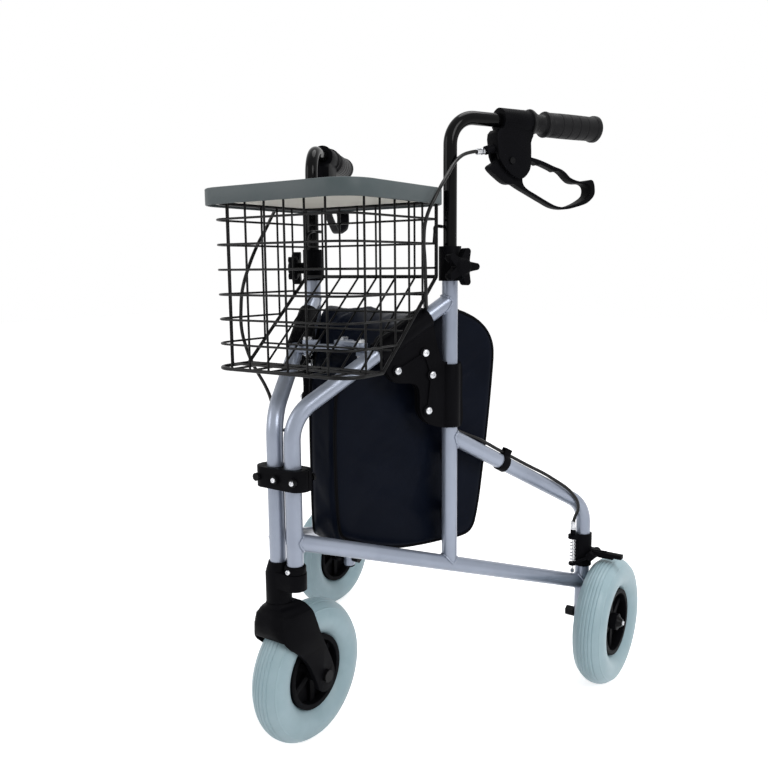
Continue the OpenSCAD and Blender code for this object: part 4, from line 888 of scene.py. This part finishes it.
# Bag: a lofted shell between two side panels that follow the frames, with sagging, wrinkled cloth
bagShape = {
    "outline": [(0.084, 0.292), (0.100, 0.280), (0.130, 0.267), (0.167, 0.258), (0.204, 0.256),
                (0.240, 0.257), (0.266, 0.258), (0.284, 0.268), (0.293, 0.300), (0.300, 0.350),
                (0.308, 0.420), (0.3145, 0.490), (0.317, 0.536), (0.311, 0.560), (0.297, 0.579),
                (0.276, 0.593), (0.250, 0.601), (0.215, 0.594), (0.182, 0.574), (0.150, 0.541),
                (0.120, 0.527), (0.096, 0.516), (0.082, 0.498), (0.078, 0.460), (0.077, 0.400),
                (0.079, 0.330)],
    "gap": 0.0275, "edge": 0.011, "around": 220, "across": 56, "capRings": 26, "middle": (0.205, 0.425),
    "sag": 0.010, "hollow": 0.004, "top": 0.0105, "side": 0.0026, "other": 0.0035, "fine": 0.0006,
    "hump": (-0.060, 0.200, 0.055, 0.010), "piping": 0.0023,
    "wide": (0.500, 0.560, 0.013), "folded": 0.25, "level": 0.45, "steep": 0.6, "edgeFade": 0.012,
    "rimFade": 0.016, "floorShare": 0.4, "capStart": 0.06, "cornerSteps": 6, "soften": 0.35, "grain": 95,
    "leastCross": 0.002, "leastHalf": 0.01, "rimStep": 4, "pipeStep": 3,
    "warpScale": 0.6, "warpShift": (3.1, 1.7), "warpShare": 0.5,
    "creases": {
        # two directions along the cloth, then share, scale, stretch, seed, level and whether they swap
        "top": ((0.8, 0.6, 0), (-0.6, 0.8, 0),
                [(1.0, 17, 0.45, 1.3, 0.45, False), (0.6, 26, 0.5, 5.9, 0.5, True)]),
        "side": ((0, 0.75, 0.66), (0, -0.66, 0.75),
                 [(1.0, 13, 0.4, 8.2, 0.85, False), (0.5, 30, 0.35, 2.6, 0.8, True)]),
        "other": ((0.7, 0, 0.7), (-0.7, 0.2, 0.7), [(1.0, 15, 0.5, 4.4, 0.5, False)]),
    },
}


def bagHalf(y, z, sign, b):
    turn = math.radians(sideFrame["splay"])
    low, high, more = b["wide"]
    share = min(max((z - low) / (high - low), 0.0), 1.0) if sign < 0 else 0.0
    gap = b["gap"] - more * share * share * (3 - 2 * share)
    return sideFrame["hingeX"] + y * math.tan(turn) - gap / math.cos(turn)


def inset(loop, depth):
    moved = []
    n = len(loop)
    for i, p in enumerate(loop):
        run = (loop[(i + 1) % n] - loop[i - 1]).normalized()
        moved.append(p + Vector((-run.y, run.x)) * depth)
    return moved


def ridges(p, along, scale, stretch, seed, b):
    a = Vector((p.dot(along[0]) * scale, p.dot(along[1]) * scale * stretch, seed))
    warp = noise.noise(a * b["warpScale"] + Vector((*b["warpShift"], seed)))
    return 1.0 - 2.0 * abs(noise.noise(a + Vector((warp, warp * b["warpShare"], 0))))


def crumple(p, normal, b):
    part = "top" if normal.z > b["level"] else "side" if abs(normal.x) > b["steep"] else "other"
    one, two, rows = b["creases"][part]
    push = b["fine"] * noise.noise(p * b["grain"])
    for share, scale, stretch, seed, level, crossed in rows:
        along = (Vector(two), Vector(one)) if crossed else (Vector(one), Vector(two))
        push += b[part] * share * (ridges(p, along, scale, stretch, seed, b) - level)
    return push


def sideRing(bm, points, dip, sign, b):
    y0 = sideFrame["hingeY"]
    return [bm.verts.new((sign * (bagHalf(p.x, p.y, sign, b) - dip), y0 + p.x, p.y)) for p in points]


def crossRing(bm, points, share, b):
    row = []
    for p in points:
        half = max(bagHalf(p.x, p.y, share, b) - b["edge"], b["leastCross"])
        row.append(bm.verts.new((half * share, sideFrame["hingeY"] + p.x, p.y)))
    return row


def sidePanel(bm, loop, sign, b):
    middle = Vector(b["middle"])
    rows = []
    for i in range(b["capRings"]):
        scale = b["capStart"] + (1 - b["capStart"]) * i / b["capRings"]
        points = [middle + (p - middle) * scale for p in inset(loop, b["edge"])]
        rows.append(sideRing(bm, points, b["hollow"] * (1 - scale * scale), sign, b))
    for i in range(b["cornerSteps"] + 1):
        turn = math.radians(90 * i / b["cornerSteps"])
        points = inset(loop, b["edge"] * (1 - math.sin(turn)))
        rows.append(sideRing(bm, points, b["edge"] * (1 - math.cos(turn)), sign, b))
    return rows


def loftBag(bm, loop, b):
    rings = sidePanel(bm, loop, -1, b)
    rings += [crossRing(bm, loop, 2 * i / b["across"] - 1, b) for i in range(1, b["across"])]
    rings += sidePanel(bm, loop, 1, b)[::-1]
    for low, high in zip(rings, rings[1:]):
        for i in range(b["around"]):
            j = (i + 1) % b["around"]
            bm.faces.new((low[i], low[j], high[j], high[i]))
    bm.faces.new(rings[0])
    bm.faces.new(rings[-1])
    bmesh.ops.recalc_face_normals(bm, faces=bm.faces)
    bm.normal_update()


def clothMove(p, normal, loop, b):
    inY = p.y - sideFrame["hingeY"]
    half = max(bagHalf(inY, p.z, p.x, b), b["leastHalf"])
    share = min(abs(p.x) / half, 1.0)
    if abs(normal.x) < b["steep"]:
        nearEdge = 1.0 - math.exp(-((share - 1.0) * half / b["edgeFade"]) ** 2)
    else:
        rim = min((Vector((inY, p.z)) - q).length for q in loop[::b["rimStep"]])
        nearEdge = 1.0 - math.exp(-((rim - b["edge"]) / b["rimFade"]) ** 2)
    move = normal * crumple(p, normal, b) * nearEdge
    middleShare = 1.0 - share * share
    if normal.z < -b["level"]:
        move.z -= b["sag"] * middleShare * b["floorShare"]
    if normal.z > b["level"]:
        hx, hy, spread, rise = b["hump"]
        away = ((p.x - hx) ** 2 + (inY - hy) ** 2) / spread ** 2
        move.z += rise * math.exp(-away) - b["sag"] * middleShare
    return move


def addPiping(loop, b):
    tilt = b["edge"] * (1 - math.sqrt(0.5))
    pipes = []
    for sign in (-1, 1):
        path = [Vector((sign * (bagHalf(p.x, p.y, sign, b) - tilt), sideFrame["hingeY"] + p.x, p.y))
                for p in inset(loop, tilt)[::b["pipeStep"]]]
        pipes.append(tubeMesh("piping%d" % sign, path, b["piping"], True, 2))
    return addPiece("bag_piping", joined("bag_piping", pipes), "bag_cloth", "head", "bag_trim")


def addBag(b):
    loop = smoothLoop(b["outline"], b["around"])
    bm = bmesh.new()
    loftBag(bm, loop, b)
    moves = [clothMove(vert.co, vert.normal, loop, b) for vert in bm.verts]
    for vert, move in zip(bm.verts, moves):
        vert.co += move
    bmesh.ops.smooth_vert(bm, verts=bm.verts, factor=b["soften"], use_axis_x=True, use_axis_y=True,
                          use_axis_z=True)
    shell = addPiece("bag_shell", meshFrom("bag_shell", bm, crease["bag"]), "bag_cloth", "head")
    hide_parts("bag")
    trim = addPiping(loop, b)
    for piece in (shell, trim):
        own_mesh(piece)


addBag(bagShape)
print("bag done")

# Webbing tabs from the bag to the inner faces of the uprights
tab = {"heights": (0.308, 0.396), "wide": 0.016, "thick": 0.0013, "reach": 0.0122, "along": 0.240,
       "start": [(-0.031, 0.010), (-0.020, 0.0095)], "turns": range(140, 231, 10), "strips": 4}


def addTab(side, z, name, t):
    path = [(out, t["along"] + back) for out, back in t["start"]]
    for turn in t["turns"]:
        a = math.radians(turn)
        path.append((t["reach"] * math.cos(a), t["along"] + t["reach"] * math.sin(a)))
    bm = bmesh.new()
    strips = t["strips"]
    rows = [[bm.verts.new(framePoint(side, out, along, z + t["wide"] * (k / strips - 0.5)))
             for k in range(strips + 1)] for out, along in path]
    for low, high in zip(rows, rows[1:]):
        for i in range(strips):
            bm.faces.new((low[i], low[i + 1], high[i + 1], high[i]))
    bmesh.ops.recalc_face_normals(bm, faces=bm.faces)
    bmesh.ops.solidify(bm, geom=bm.faces[:], thickness=t["thick"])
    bmesh.ops.recalc_face_normals(bm, faces=bm.faces)
    strap = addPiece(name, meshFrom(name, bm, crease["tube"]), "bag_cloth", side + "_frame", "bag_trim")


for side in sides:
    for i, z in enumerate(tab["heights"]):
        addTab(side, z, "%s_tab%d" % (side, i + 1), tab)
print("tabs done")
